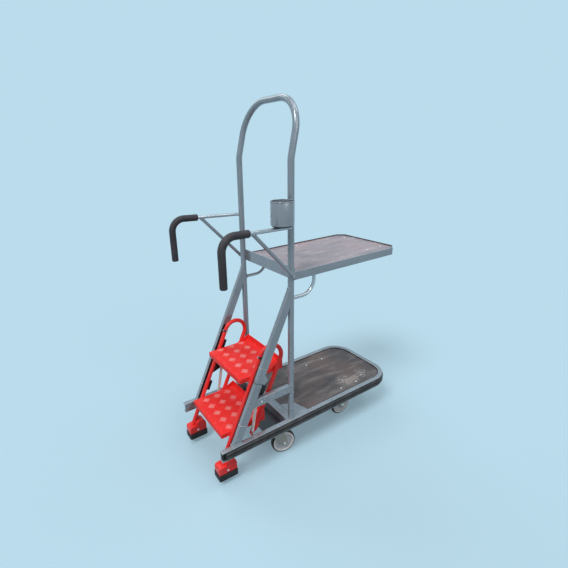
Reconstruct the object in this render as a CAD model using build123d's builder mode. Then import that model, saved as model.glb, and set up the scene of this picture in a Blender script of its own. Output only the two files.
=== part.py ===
"""Step trolley: a shelf truck on four castors with a sprung two-tread step at its rear.

Millimetres. X runs forward from the step to the rounded end of the platform, Y to the left and Z up.
The origin is on the floor, on the trolley's centre plane, midway along it.
"""
import os
from math import cos, hypot, radians, sin, sqrt, tan

from build123d import *

os.makedirs("parts", exist_ok=True)

# Shared sizes
OVERRUN = 4.0            # how far every cut runs past the faces it opens
RUNNING_CLEARANCE = 0.05  # radial play of an axle or a kingpin in its bore
SOFT_CLEARANCE = 0.3     # gap that a soft piece keeps from its neighbour
FACE_CLEARANCE = 0.3     # end play beside a turning face
SIDES = (("left", 1), ("right", -1))

# Platform
RAIL_LENGTH = 1099.0
RAIL_WIDTH = 432.0
RAIL_TOP_Z = 208.0
RAIL_HEIGHT = 50.0
RAIL_FLANGE = 24.0
RAIL_WALL = 3.0
CORNER_RADIUS = 115.0
BUMPER_BULGE = 5.0
BUMPER_HEIGHT = 34.0
BUMPER_SHOULDER = 5.0
BUMPER_GROOVE = 3.0
BUMPER_END_GAP = 16.0
DECK_THICKNESS = 12.0
DECK_DROP = 5.0
CROSS_BAR_WIDTH = 43.0
CROSS_BAR_AHEAD = 15.0    # how far the bar's front face lies ahead of the uprights' axes
PLATE_THICKNESS = 4.0
REAR_PLATE_LENGTH = 152.0
BEARER_LENGTH = 110.0
BEARER_WALL = 3.0
GUSSET_ALONG_RAIL = 91.0
GUSSET_ALONG_BAR = 105.0
GUSSET_NOSE = (70.0, 74.0)  # its middle corner, from the inner corner: along the rail, along the bar

# Uprights and hoop
UPRIGHT_X_FROM_REAR = 391.0
UPRIGHT_INSET = 22.0      # from the rail's outer face to the upright's axis
UPRIGHT_RADIUS = 14.0
KINK_RISE = 265.0         # from the handle bar's root up to the kink
KINK_ANGLE = 13.0
KINK_RADIUS = 120.0
HOOP_RISE = 226.0         # from the kink up to the axis of the hoop's top
HOOP_TAPER = 5.0          # how far each side leans in below the corner
HOOP_CORNER_RADIUS = 140.0

# Handles
HANDLE_RADIUS = 8.0
HANDLE_RISE = 198.0       # from the shelf's top up to the bar's root
HANDLE_ROOT_OUT = 12.0    # outside the upright's axis
HANDLE_BEND_FROM_REAR = 46.0
HANDLE_BEND_OUT = 29.0    # further out than the root
HANDLE_BEND_RISE = 13.0
HANDLE_BEND_RADIUS = 56.0
GRIP_RADIUS = 15.5
GRIP_DROP = 195.0         # from the bend down to the grip's tip
GRIP_CHAMFER = 4.0
GRIP_END_WALL = 5.0
GRIP_START_FROM_REAR = 171.0
BRACE_RADIUS = 8.0
BRACE_TOP_FROM_REAR = 184.0
BRACE_BOTTOM_AHEAD = 6.0  # ahead of the upright's axis
BRACE_BOTTOM_DROP = 21.0  # below the shelf's top

# Cup
CUP_RADIUS = 48.0
CUP_HEIGHT = 100.0
CUP_WALL = 2.0
CUP_BEARING = 20.0        # degrees outward from straight behind its upright

# Upper shelf
SHELF_TOP_Z = 952.0
SHELF_LENGTH = 670.0
SHELF_OVERHANG = 5.0      # outside the uprights' axes
SHELF_FLANGE = 36.0
SHELF_WALL = 4.0
SHELF_LEDGE = 24.0
SHELF_DROP = 5.0
SHELF_CHAMFER_X = 40.0
SHELF_CHAMFER_Y = 33.0
SHELF_BACK_RISE = 19.0
SHELF_BACK_DROP = 31.0
BRACKET_RADIUS = 8.0
BRACKET_REACH = 133.0
BRACKET_INSET = 5.0       # from the upright's axis towards the middle
BRACKET_DROP = 85.0
BRACKET_BEND_RADIUS = 65.0

# Struts and ties, on the slope that the step slides along
SLOPE = 64.8
STRUT_DEPTH = 40.0
STRUT_WIDTH = 20.0
STRUT_FOOT_FROM_REAR = 60.0
TIE_TOP_Z = 400.0
TIE_HEIGHT = 40.0

# Step unit
LEG_INSET = 34.0          # from the upright's axis to the leg's
LEG_RADIUS = 10.0
LEG_FOOT_FROM_REAR = 72.0  # where the front leg's axis crosses the rail's top level
LEG_SPREAD = 117.0         # between the two legs' axes, square to the slope
LEG_TOP = 415.0            # along the slope from the rail's top level to the bend
BACK_LEG_BOTTOM = 66.0
TREAD_DEPTH = 235.0
TREAD_SHEET = 3.0
TREAD_LIP = 22.0
TREAD_BACK_RISE = 30.0
TREAD_EAR = 70.0
UPPER_TREAD_Z = 492.0
UPPER_TREAD_NOSE_FROM_REAR = 140.0
LOWER_TREAD_Z = 246.0
LOWER_TREAD_NOSE_FROM_REAR = 33.0
PAD_OVERHANG = 9.0
PAD_LENGTH = 97.0
PAD_WIDTH = 60.0
PAD_HEIGHT = 32.0
PAD_LIFT = 26.0
SHOE_LENGTH = 92.0
SHOE_WIDTH = 50.0
SHOE_HEIGHT = 62.0
SHOE_ROUND = 30.0
SHOE_SIDE_ROUND = 8.0
SHOE_WALL = 5.0
HEEL_THICKNESS = 5.0
HEEL_REACH = 20.0          # behind and ahead of the back leg's axis
HEEL_HEIGHT = 50.0
HEEL_PIN_INSET = 7.0
GUIDE_LENGTH = 50.0
GUIDE_DEPTH = 30.0
GUIDE_AHEAD = 13.0         # from the front leg's axis to the guide's middle
GUIDE_PLAY = 0.5
GUIDE_HEIGHTS = (300.0, 510.0)
COLLAR_WALL = 2.0
COLLAR_WIDTH = 9.0
COLLAR_BELOW_BEND = 4.0
SPRING_RADIUS = 7.0
SPRING_BRACKET_REACH = 42.0
SPRING_BRACKET_ABOVE = 40.0   # the plate's reach up and down the slope from its pin
SPRING_BRACKET_BELOW = 90.0
SPRING_BRACKET_NOSE_BELOW = 50.0
SPRING_BRACKET_SHOULDER = 12.0
SPRING_BRACKET_Z = 440.0
SPRING_PIN_AHEAD = 17.0       # ahead of the strut's front face
SPRING_BRACKET_SHEET = 4.0
SPRING_PIN_RADIUS = 4.0

# Castors
WHEEL_RADIUS = 62.5
TYRE_WIDTH = 30.0
TYRE_TREAD_WIDTH = 20.0
TYRE_DEPTH = 10.0
RIM_WALL = 4.0
RIM_WIDTH = 28.0
WEB_THICKNESS = 6.0
HUB_RADIUS = 15.0
FORK_GAP = 40.0           # between the legs' inner faces
FORK_SHEET = 3.0
FORK_EYE_RADIUS = 14.0
CROWN_RADIUS = 36.0
CROWN_CLEARANCE = 6.0     # between the tyre and the crown
AXLE_RADIUS = 5.0
AXLE_HEAD_RADIUS = 8.0
AXLE_HEAD_HEIGHT = 5.0
KINGPIN_RADIUS = 6.0
KINGPIN_HEAD_RADIUS = 10.0
KINGPIN_HEAD_HEIGHT = 5.0
TOP_PLATE_ROUND = 6.0
TOP_PLATE_LENGTH = 104.0
TOP_PLATE_WIDTH = 84.0
TOP_PLATE_THICKNESS = 3.0
CASTOR_TRAIL = 35.0
SWIVEL_TURN = -12.0       # how the swivel castors stand when the trolley is parked
REAR_CASTOR_FROM_REAR = 328.0
REAR_CASTOR_INSET = 57.0
FRONT_CASTOR_FROM_REAR = 805.0
FRONT_CASTOR_INSET = 102.0

# Places worked out from the sizes above
REAR_X = (PAD_OVERHANG - RAIL_LENGTH - BUMPER_BULGE) / 2
FRONT_X = REAR_X + RAIL_LENGTH
RAIL_BOTTOM_Z = RAIL_TOP_Z - RAIL_HEIGHT
RAIL_INNER_Y = RAIL_WIDTH / 2 - RAIL_FLANGE
RAIL_MIDDLE_Z = RAIL_TOP_Z - RAIL_HEIGHT / 2
DECK_TOP_Z = RAIL_TOP_Z - DECK_DROP
DECK_BOTTOM_Z = DECK_TOP_Z - DECK_THICKNESS
UPRIGHT_X = REAR_X + UPRIGHT_X_FROM_REAR
UPRIGHT_Y = RAIL_WIDTH / 2 - UPRIGHT_INSET
LEG_Y = UPRIGHT_Y - LEG_INSET
TREAD_HALF_WIDTH = LEG_Y - LEG_RADIUS
HANDLE_ROOT_Z = SHELF_TOP_Z + HANDLE_RISE
KINK_Z = HANDLE_ROOT_Z + KINK_RISE
HOOP_TOP_Z = KINK_Z + HOOP_RISE
CROSS_BAR_FRONT_X = UPRIGHT_X + CROSS_BAR_AHEAD
STRUT_INNER_Y = UPRIGHT_Y - STRUT_WIDTH / 2
SPRING_Y = LEG_Y + HEEL_THICKNESS / 2 + FACE_CLEARANCE + SPRING_RADIUS
SHELF_REAR_X = UPRIGHT_X + UPRIGHT_RADIUS
SHELF_FRONT_X = SHELF_REAR_X + SHELF_LENGTH
SHELF_HALF_WIDTH = UPRIGHT_Y + SHELF_OVERHANG
SHELF_PANEL_TOP_Z = SHELF_TOP_Z - SHELF_DROP
SHELF_PANEL_BOTTOM_Z = SHELF_PANEL_TOP_Z - DECK_THICKNESS
SHELF_LEDGE_BOTTOM_Z = SHELF_PANEL_BOTTOM_Z - SHELF_WALL
UP_SLOPE_X = cos(radians(SLOPE))
UP_SLOPE_Z = sin(radians(SLOPE))


def side_plane(y):
    """Return the XZ plane at y: sketches on it read X across and Z up."""
    return Plane.XZ.offset(-y)


def on_slope(along, ahead):
    """Return X and Z of a place that far up the front leg's line and that far square ahead of it."""
    x = REAR_X + LEG_FOOT_FROM_REAR + along * UP_SLOPE_X + ahead * UP_SLOPE_Z
    z = RAIL_TOP_Z + along * UP_SLOPE_Z - ahead * UP_SLOPE_X
    return x, z


def leg_x(z, ahead=0):
    """Return X at which the line parallel to the front leg, that far square ahead of it, reaches z."""
    return REAR_X + LEG_FOOT_FROM_REAR + ahead / UP_SLOPE_Z + (z - RAIL_TOP_Z) * UP_SLOPE_X / UP_SLOPE_Z


def platform_face(inset, rear_x, mode=Mode.ADD):
    """Draw the platform's outline from rear_x forward, brought in by inset at its sides and front."""
    half = RAIL_WIDTH / 2 - inset
    front = FRONT_X - inset
    with BuildLine() as outline:
        bend = FilletPolyline(
            (rear_x, -half), (front, -half), (front, half), (rear_x, half), radius=CORNER_RADIUS - inset
        )
        Line(bend @ 1, bend @ 0)
    make_face(outline.edges(), mode=mode)


def bent_line(points, radii):
    """Draw straight runs through the points, with an arc of the given radius at each inner point."""
    run_start = Vector(*points[0])
    for index, radius in enumerate(radii):
        corner = Vector(*points[index + 1])
        back = (Vector(*points[index]) - corner).normalized()
        ahead = (Vector(*points[index + 2]) - corner).normalized()
        half_angle = radians(back.get_angle(ahead)) / 2
        reach = radius / tan(half_angle)
        rise = radius / sin(half_angle) - radius
        arc_start = corner + back * reach
        arc_end = corner + ahead * reach
        if (arc_start - run_start).length > FACE_CLEARANCE:
            Line(run_start, arc_start)
        else:
            arc_start = run_start
        ThreePointArc(arc_start, corner + (back + ahead).normalized() * rise, arc_end)
        run_start = arc_end
    Line(run_start, Vector(*points[-1]))


def bent_tube(points, radii, radius, mode=Mode.ADD):
    """Sweep a round bar along straight runs and arcs."""
    with BuildLine() as route:
        bent_line(points, radii)
    with BuildSketch(Plane(origin=route.line @ 0, z_dir=route.line % 0)) as section:
        Circle(radius)
    sweep(section.sketch, path=route.line, mode=mode)


# Base rail: one channel, open outwards, bent round the platform and open at the rear
with BuildPart() as base_rail:
    with BuildSketch(Plane.XY.offset(RAIL_BOTTOM_Z)):
        platform_face(0, REAR_X)
        platform_face(RAIL_FLANGE, REAR_X - OVERRUN, Mode.SUBTRACT)
    extrude(amount=RAIL_HEIGHT)
    with BuildSketch(Plane.XY.offset(RAIL_BOTTOM_Z + RAIL_WALL)):
        platform_face(-OVERRUN, REAR_X - OVERRUN)
        platform_face(RAIL_FLANGE - RAIL_WALL, REAR_X - 2 * OVERRUN, Mode.SUBTRACT)
    extrude(amount=RAIL_HEIGHT - 2 * RAIL_WALL, mode=Mode.SUBTRACT)
base_rail.part.label = "base_rail"
export_step(base_rail.part, "parts/base_rail.step")

# Bumper strip: grooved rubber laid in the channel, standing proud of it all round
with BuildPart() as bumper_strip:
    with BuildLine() as bumper_route:
        bumper_rear_x = REAR_X + BUMPER_END_GAP
        FilletPolyline(
            (bumper_rear_x, -RAIL_WIDTH / 2),
            (FRONT_X, -RAIL_WIDTH / 2),
            (FRONT_X, RAIL_WIDTH / 2),
            (bumper_rear_x, RAIL_WIDTH / 2),
            radius=CORNER_RADIUS,
        )
    with BuildSketch(Plane(origin=(bumper_rear_x, -RAIL_WIDTH / 2, 0), x_dir=(0, -1, 0), z_dir=(1, 0, 0))):
        with BuildLine():
            Polyline(
                (RAIL_WALL - RAIL_FLANGE, BUMPER_HEIGHT / 2),
                (BUMPER_BULGE - BUMPER_SHOULDER, BUMPER_HEIGHT / 2),
                (BUMPER_BULGE, BUMPER_HEIGHT / 2 - BUMPER_SHOULDER),
                (BUMPER_BULGE, BUMPER_GROOVE),
                (BUMPER_BULGE - BUMPER_GROOVE, 0),
                (BUMPER_BULGE, -BUMPER_GROOVE),
                (BUMPER_BULGE, BUMPER_SHOULDER - BUMPER_HEIGHT / 2),
                (BUMPER_BULGE - BUMPER_SHOULDER, -BUMPER_HEIGHT / 2),
                (RAIL_WALL - RAIL_FLANGE, -BUMPER_HEIGHT / 2),
                close=True,
            )
        make_face()
    sweep(path=bumper_route.line)
bumper_strip.part.position += (0, 0, RAIL_MIDDLE_Z)
bumper_strip.part.label = "bumper_strip"
export_step(bumper_strip.part, "parts/bumper_strip.step")

# Deck panel of plywood, let in below the rail's top
with BuildPart() as deck_panel:
    with BuildSketch(Plane.XY.offset(DECK_BOTTOM_Z)):
        platform_face(RAIL_FLANGE, CROSS_BAR_FRONT_X)
    extrude(amount=DECK_THICKNESS)
deck_panel.part.label = "deck_panel"
export_step(deck_panel.part, "parts/deck_panel.step")

# Rear plate under the cross bar, which carries the swivel castors
with BuildPart() as rear_plate:
    with BuildSketch(Plane.XY.offset(RAIL_BOTTOM_Z)):
        with Locations((CROSS_BAR_FRONT_X - REAR_PLATE_LENGTH / 2, 0)):
            Rectangle(REAR_PLATE_LENGTH, 2 * RAIL_INNER_Y)
    extrude(amount=PLATE_THICKNESS)
rear_plate.part.label = "rear_plate"
export_step(rear_plate.part, "parts/rear_plate.step")

# Cross bar: a box section between the rails that the uprights stand on
with BuildPart() as cross_bar:
    bar_height = RAIL_HEIGHT - PLATE_THICKNESS
    with BuildSketch(Plane.XZ.offset(-RAIL_INNER_Y)):
        with Locations((CROSS_BAR_FRONT_X - CROSS_BAR_WIDTH / 2, RAIL_TOP_Z - bar_height / 2)):
            Rectangle(CROSS_BAR_WIDTH, bar_height)
            Rectangle(CROSS_BAR_WIDTH - 2 * RAIL_WALL, bar_height - 2 * RAIL_WALL, mode=Mode.SUBTRACT)
    extrude(amount=2 * RAIL_INNER_Y)
cross_bar.part.label = "cross_bar"
export_step(cross_bar.part, "parts/cross_bar.step")

# Front bearer: a box section under the deck, which carries the fixed castors
with BuildPart() as front_bearer:
    bearer_height = DECK_BOTTOM_Z - RAIL_BOTTOM_Z
    with BuildSketch(Plane.XZ.offset(-RAIL_INNER_Y)):
        with Locations((REAR_X + FRONT_CASTOR_FROM_REAR, RAIL_BOTTOM_Z + bearer_height / 2)):
            Rectangle(BEARER_LENGTH, bearer_height)
            Rectangle(
                BEARER_LENGTH - 2 * BEARER_WALL, bearer_height - 2 * BEARER_WALL, mode=Mode.SUBTRACT
            )
    extrude(amount=2 * RAIL_INNER_Y)
front_bearer.part.label = "front_bearer"
export_step(front_bearer.part, "parts/front_bearer.step")

# Corner gussets, flush with the rail's top, between the cross bar and each rail
with BuildPart() as gussets:
    for side, sign in SIDES:
        with BuildSketch(Plane.XY.offset(DECK_TOP_Z)):
            with BuildLine():
                Polyline(
                    (CROSS_BAR_FRONT_X, sign * RAIL_INNER_Y),
                    (CROSS_BAR_FRONT_X + GUSSET_ALONG_RAIL, sign * RAIL_INNER_Y),
                    (CROSS_BAR_FRONT_X + GUSSET_NOSE[0], sign * (RAIL_INNER_Y - GUSSET_NOSE[1])),
                    (CROSS_BAR_FRONT_X, sign * (RAIL_INNER_Y - GUSSET_ALONG_BAR)),
                    close=True,
                )
            make_face()
        extrude(amount=DECK_DROP)
gussets.part.label = "gussets"
export_step(gussets.part, "parts/gussets.step")

# Uprights and hoop: one tube from the left foot over the top to the right foot
kink_slope = tan(radians(KINK_ANGLE))
hoop_top_x = UPRIGHT_X + (HOOP_TOP_Z - KINK_Z) * kink_slope
hoop_top_y = UPRIGHT_Y - HOOP_TAPER
with BuildPart() as hoop:
    bent_tube(
        (
            (UPRIGHT_X, UPRIGHT_Y, RAIL_TOP_Z),
            (UPRIGHT_X, UPRIGHT_Y, KINK_Z),
            (hoop_top_x, hoop_top_y, HOOP_TOP_Z),
            (hoop_top_x, -hoop_top_y, HOOP_TOP_Z),
            (UPRIGHT_X, -UPRIGHT_Y, KINK_Z),
            (UPRIGHT_X, -UPRIGHT_Y, RAIL_TOP_Z),
        ),
        (KINK_RADIUS, HOOP_CORNER_RADIUS, HOOP_CORNER_RADIUS, KINK_RADIUS),
        UPRIGHT_RADIUS,
    )
hoop.part.label = "uprights_hoop"
export_step(hoop.part, "parts/uprights_hoop.step")

# Handles: a bar from each upright, bent down at its end, with a foam grip over the bend and a brace
handle_bend_x = REAR_X + HANDLE_BEND_FROM_REAR
handle_root_y = UPRIGHT_Y + HANDLE_ROOT_OUT
handle_bend_y = handle_root_y + HANDLE_BEND_OUT
handle_bend_z = HANDLE_ROOT_Z + HANDLE_BEND_RISE
grip_tip_z = handle_bend_z - GRIP_DROP


def handle_at(x, sign):
    """Return the place at x on the straight run of that side's handle bar."""
    share = (UPRIGHT_X - x) / (UPRIGHT_X - handle_bend_x)
    return x, sign * (handle_root_y + share * HANDLE_BEND_OUT), HANDLE_ROOT_Z + share * HANDLE_BEND_RISE


handles = {}
for side, sign in SIDES:
    bend = (handle_bend_x, sign * handle_bend_y, handle_bend_z)
    bar_tip = (handle_bend_x, sign * handle_bend_y, grip_tip_z + GRIP_END_WALL)
    bar_route = (handle_at(UPRIGHT_X, sign), bend, bar_tip)
    with BuildPart() as handle:
        bent_tube(bar_route, (HANDLE_BEND_RADIUS,), HANDLE_RADIUS)
        add(hoop.part, mode=Mode.SUBTRACT)
    handle.part.label = f"handle_{side}"
    export_step(handle.part, f"parts/handle_{side}.step")
    with BuildPart() as grip:
        grip_start = handle_at(REAR_X + GRIP_START_FROM_REAR, sign)
        grip_tip = (handle_bend_x, sign * handle_bend_y, grip_tip_z)
        bent_tube((grip_start, bend, grip_tip), (HANDLE_BEND_RADIUS,), GRIP_RADIUS)
        chamfer(grip.faces().sort_by(Axis.Z)[0].edges(), GRIP_CHAMFER)
        bent_tube(
            bar_route, (HANDLE_BEND_RADIUS,), HANDLE_RADIUS + SOFT_CLEARANCE, Mode.SUBTRACT
        )
    grip.part.label = f"grip_{side}"
    export_step(grip.part, f"parts/grip_{side}.step")
    handles[side] = handle.part

with BuildPart() as handle_braces:
    for side, sign in SIDES:
        brace_top = handle_at(REAR_X + BRACE_TOP_FROM_REAR, sign)
        brace_bottom_y = UPRIGHT_Y + UPRIGHT_RADIUS + BRACE_RADIUS - FACE_CLEARANCE
        brace_bottom_z = SHELF_TOP_Z - BRACE_BOTTOM_DROP
        brace_bottom = (UPRIGHT_X + BRACE_BOTTOM_AHEAD, sign * brace_bottom_y, brace_bottom_z)
        bent_tube((brace_top, brace_bottom), (), BRACE_RADIUS)
        add(handles[side], mode=Mode.SUBTRACT)
    add(hoop.part, mode=Mode.SUBTRACT)
handle_braces.part.label = "handle_braces"
export_step(handle_braces.part, "parts/handle_braces.step")

# Cup on the right upright, standing on its handle bar
cup_distance = CUP_RADIUS + UPRIGHT_RADIUS
cup_x = UPRIGHT_X - cup_distance * cos(radians(CUP_BEARING))
cup_y = -UPRIGHT_Y - cup_distance * sin(radians(CUP_BEARING))
cup_bottom_z = handle_at(cup_x - CUP_RADIUS, -1)[2] + HANDLE_RADIUS
with BuildPart() as cup:
    with BuildSketch(Plane.XY.offset(cup_bottom_z)):
        with Locations((cup_x, cup_y)):
            Circle(CUP_RADIUS)
    extrude(amount=CUP_HEIGHT)
    offset(amount=-CUP_WALL, openings=cup.faces().sort_by(Axis.Z)[-1])
cup.part.label = "cup"
export_step(cup.part, "parts/cup.step")

# Upper shelf: an angle frame with two cut corners, its back flange higher, and a plywood panel


def shelf_face(inset, rear_inset, mode=Mode.ADD):
    """Draw the shelf's outline with its two cut front corners, brought in by inset."""
    half = SHELF_HALF_WIDTH - inset
    front = SHELF_FRONT_X - inset
    corner_length = hypot(SHELF_CHAMFER_X, SHELF_CHAMFER_Y)
    cut_x = SHELF_CHAMFER_X + inset * (SHELF_CHAMFER_X + SHELF_CHAMFER_Y - corner_length) / SHELF_CHAMFER_Y
    cut_y = cut_x * SHELF_CHAMFER_Y / SHELF_CHAMFER_X
    cut_x -= inset
    cut_y -= inset * SHELF_CHAMFER_Y / SHELF_CHAMFER_X
    rear = SHELF_REAR_X + rear_inset
    with BuildLine() as outline:
        Polyline(
            (rear, -half),
            (front - cut_x, -half),
            (front, -half + cut_y),
            (front, half - cut_y),
            (front - cut_x, half),
            (rear, half),
            close=True,
        )
    make_face(outline.edges(), mode=mode)


with BuildPart() as shelf_frame:
    with BuildSketch(Plane.XY.offset(SHELF_TOP_Z - SHELF_FLANGE)):
        shelf_face(0, 0)
        shelf_face(SHELF_WALL, SHELF_WALL, Mode.SUBTRACT)
    extrude(amount=SHELF_FLANGE)
    with BuildSketch(Plane.XY.offset(SHELF_LEDGE_BOTTOM_Z)):
        shelf_face(0, 0)
        shelf_face(SHELF_LEDGE, SHELF_LEDGE, Mode.SUBTRACT)
    extrude(amount=SHELF_WALL)
    with BuildSketch(Plane.XY.offset(SHELF_TOP_Z - SHELF_BACK_DROP)):
        with Locations((SHELF_REAR_X + SHELF_WALL / 2, 0)):
            Rectangle(SHELF_WALL, 2 * SHELF_HALF_WIDTH)
    extrude(amount=SHELF_BACK_DROP + SHELF_BACK_RISE)
    add(hoop.part, mode=Mode.SUBTRACT)
shelf_frame.part.label = "shelf_frame"
export_step(shelf_frame.part, "parts/shelf_frame.step")

with BuildPart() as shelf_panel:
    with BuildSketch(Plane.XY.offset(SHELF_PANEL_BOTTOM_Z)):
        shelf_face(SHELF_WALL, SHELF_WALL)
    extrude(amount=DECK_THICKNESS)
shelf_panel.part.label = "shelf_panel"
export_step(shelf_panel.part, "parts/shelf_panel.step")

# Shelf brackets: a bent bar from each upright up to the shelf's ledge
bracket_y = UPRIGHT_Y - BRACKET_INSET
bracket_x = UPRIGHT_X + BRACKET_REACH
bracket_z = SHELF_TOP_Z - SHELF_FLANGE - BRACKET_DROP
with BuildPart() as shelf_brackets:
    for side, sign in SIDES:
        bent_tube(
            (
                (bracket_x, sign * bracket_y, SHELF_LEDGE_BOTTOM_Z),
                (bracket_x, sign * bracket_y, bracket_z),
                (UPRIGHT_X, sign * bracket_y, bracket_z),
            ),
            (BRACKET_BEND_RADIUS,),
            BRACKET_RADIUS,
        )
    add(hoop.part, mode=Mode.SUBTRACT)
    add(shelf_frame.part, mode=Mode.SUBTRACT)
shelf_brackets.part.label = "shelf_brackets"
export_step(shelf_brackets.part, "parts/shelf_brackets.step")

# Struts: a box section from each rail up to its upright, on the slope
strut_rear_x = REAR_X + STRUT_FOOT_FROM_REAR
strut_span_x = STRUT_DEPTH / UP_SLOPE_Z
strut_front_x = strut_rear_x + strut_span_x
slope_rise = UP_SLOPE_Z / UP_SLOPE_X
for side, sign in SIDES:
    with BuildPart() as strut:
        with BuildSketch(side_plane(sign * UPRIGHT_Y)):
            with BuildLine():
                Polyline(
                    (strut_rear_x, RAIL_TOP_Z),
                    (strut_front_x, RAIL_TOP_Z),
                    (UPRIGHT_X, RAIL_TOP_Z + (UPRIGHT_X - strut_front_x) * slope_rise),
                    (UPRIGHT_X, RAIL_TOP_Z + (UPRIGHT_X - strut_rear_x) * slope_rise),
                    close=True,
                )
            make_face()
        extrude(amount=STRUT_WIDTH / 2, both=True)
        add(hoop.part, mode=Mode.SUBTRACT)
    strut.part.label = f"strut_{side}"
    export_step(strut.part, f"parts/strut_{side}.step")

# Ties: a level box section from each strut to its upright
tie_low_z = TIE_TOP_Z - TIE_HEIGHT
with BuildPart() as ties:
    for side, sign in SIDES:
        with BuildSketch(side_plane(sign * UPRIGHT_Y)):
            with BuildLine():
                Polyline(
                    (strut_front_x + (tie_low_z - RAIL_TOP_Z) / slope_rise, tie_low_z),
                    (UPRIGHT_X, tie_low_z),
                    (UPRIGHT_X, TIE_TOP_Z),
                    (strut_front_x + (TIE_TOP_Z - RAIL_TOP_Z) / slope_rise, TIE_TOP_Z),
                    close=True,
                )
            make_face()
        extrude(amount=STRUT_WIDTH / 2, both=True)
    add(hoop.part, mode=Mode.SUBTRACT)
ties.part.label = "ties"
export_step(ties.part, "parts/ties.step")

# Guides: plastic blocks on the struts' inner faces, each with a half-round groove for the front leg
with BuildPart() as guides:
    for guide_z in GUIDE_HEIGHTS:
        guide_plane = Plane(
            origin=(leg_x(guide_z), 0, guide_z),
            x_dir=(UP_SLOPE_Z, 0, -UP_SLOPE_X),
            z_dir=(UP_SLOPE_X, 0, UP_SLOPE_Z),
        )
        for side, sign in SIDES:
            with BuildSketch(guide_plane):
                with Locations((GUIDE_AHEAD, sign * (STRUT_INNER_Y + LEG_Y) / 2)):
                    Rectangle(GUIDE_DEPTH, STRUT_INNER_Y - LEG_Y)
                with Locations((0, sign * LEG_Y)):
                    Circle(LEG_RADIUS + GUIDE_PLAY, mode=Mode.SUBTRACT)
            extrude(amount=GUIDE_LENGTH / 2, both=True)
guides.part.label = "guides"
export_step(guides.part, "parts/guides.step")

# Spring brackets: a plate on each strut's inner face with a pin for the spring's upper eye
strut_front_ahead = (strut_front_x - leg_x(RAIL_TOP_Z)) * UP_SLOPE_Z
bracket_along = (SPRING_BRACKET_Z - RAIL_TOP_Z) / UP_SLOPE_Z
bracket_low = bracket_along - SPRING_BRACKET_BELOW
bracket_high = bracket_along + SPRING_BRACKET_ABOVE
bracket_nose_low = bracket_along - SPRING_BRACKET_NOSE_BELOW
bracket_nose_high = bracket_high - SPRING_BRACKET_SHOULDER
bracket_back = strut_front_ahead - STRUT_DEPTH / 2
bracket_front = strut_front_ahead + SPRING_BRACKET_REACH
spring_top = on_slope(bracket_along, strut_front_ahead + SPRING_PIN_AHEAD)
upper_pin_length = STRUT_INNER_Y - SPRING_Y + SPRING_RADIUS
with BuildPart() as spring_brackets:
    for side, sign in SIDES:
        with BuildSketch(side_plane(sign * (STRUT_INNER_Y - SPRING_BRACKET_SHEET / 2))):
            with BuildLine():
                Polyline(
                    on_slope(bracket_low, bracket_back),
                    on_slope(bracket_high, bracket_back),
                    on_slope(bracket_high, strut_front_ahead),
                    on_slope(bracket_nose_high, bracket_front),
                    on_slope(bracket_nose_low, bracket_front),
                    on_slope(bracket_low, strut_front_ahead),
                    close=True,
                )
            make_face()
        extrude(amount=SPRING_BRACKET_SHEET / 2, both=True)
        with BuildSketch(side_plane(sign * (STRUT_INNER_Y - upper_pin_length / 2))):
            with Locations(spring_top):
                Circle(SPRING_PIN_RADIUS)
        extrude(amount=upper_pin_length / 2, both=True)
spring_brackets.part.label = "spring_brackets"
export_step(spring_brackets.part, "parts/spring_brackets.step")

# Springs: from the brackets' pins down to the heel pins, each in the space of its coils
heel_pin = on_slope(BACK_LEG_BOTTOM / 2, LEG_SPREAD - HEEL_REACH + HEEL_PIN_INSET)
spring_reach = Vector(*spring_top) - Vector(*heel_pin)
spring_low = Vector(*heel_pin) + spring_reach.normalized() * (SPRING_PIN_RADIUS + SOFT_CLEARANCE)
with BuildPart() as springs:
    for side, sign in SIDES:
        low_point = (spring_low.X, sign * SPRING_Y, spring_low.Y)
        top_point = (spring_top[0], sign * SPRING_Y, spring_top[1])
        bent_tube((low_point, top_point), (), SPRING_RADIUS)
    add(spring_brackets.part, mode=Mode.SUBTRACT)
springs.part.label = "springs"
export_step(springs.part, "parts/springs.step")

# Step sides: one red tube each, up the strut, over a half turn and down behind the treads
foot_along = (PAD_LIFT + PAD_HEIGHT + SHOE_WALL - RAIL_TOP_Z) / UP_SLOPE_Z
bend_along = LEG_TOP + LEG_SPREAD / 2
step_sides = {}
for side, sign in SIDES:
    with BuildPart() as step_side:
        route = [
            on_slope(foot_along, 0),
            on_slope(bend_along, 0),
            on_slope(bend_along, LEG_SPREAD),
            on_slope(BACK_LEG_BOTTOM, LEG_SPREAD),
        ]
        bent_tube(
            [(x, sign * LEG_Y, z) for x, z in route], (LEG_SPREAD / 2, LEG_SPREAD / 2), LEG_RADIUS
        )
        with BuildSketch(side_plane(sign * LEG_Y)):
            with BuildLine():
                Polyline(
                    on_slope(BACK_LEG_BOTTOM + HEEL_HEIGHT, LEG_SPREAD),
                    on_slope(BACK_LEG_BOTTOM + LEG_RADIUS, LEG_SPREAD + HEEL_REACH),
                    on_slope(BACK_LEG_BOTTOM - HEEL_REACH, LEG_SPREAD + LEG_RADIUS),
                    on_slope(BACK_LEG_BOTTOM / 2 - LEG_RADIUS, LEG_SPREAD - HEEL_REACH),
                    on_slope(BACK_LEG_BOTTOM + LEG_RADIUS, LEG_SPREAD - HEEL_REACH),
                    close=True,
                )
            make_face()
        extrude(amount=HEEL_THICKNESS / 2, both=True)
        heel_pin_length = SPRING_Y + SPRING_RADIUS - LEG_Y
        with BuildSketch(side_plane(sign * (LEG_Y + heel_pin_length / 2))):
            with Locations(heel_pin):
                Circle(SPRING_PIN_RADIUS)
        extrude(amount=heel_pin_length / 2, both=True)
    step_sides[side] = step_side.part
    step_side.part.label = f"step_side_{side}"
    export_step(step_side.part, f"parts/step_side_{side}.step")

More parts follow.
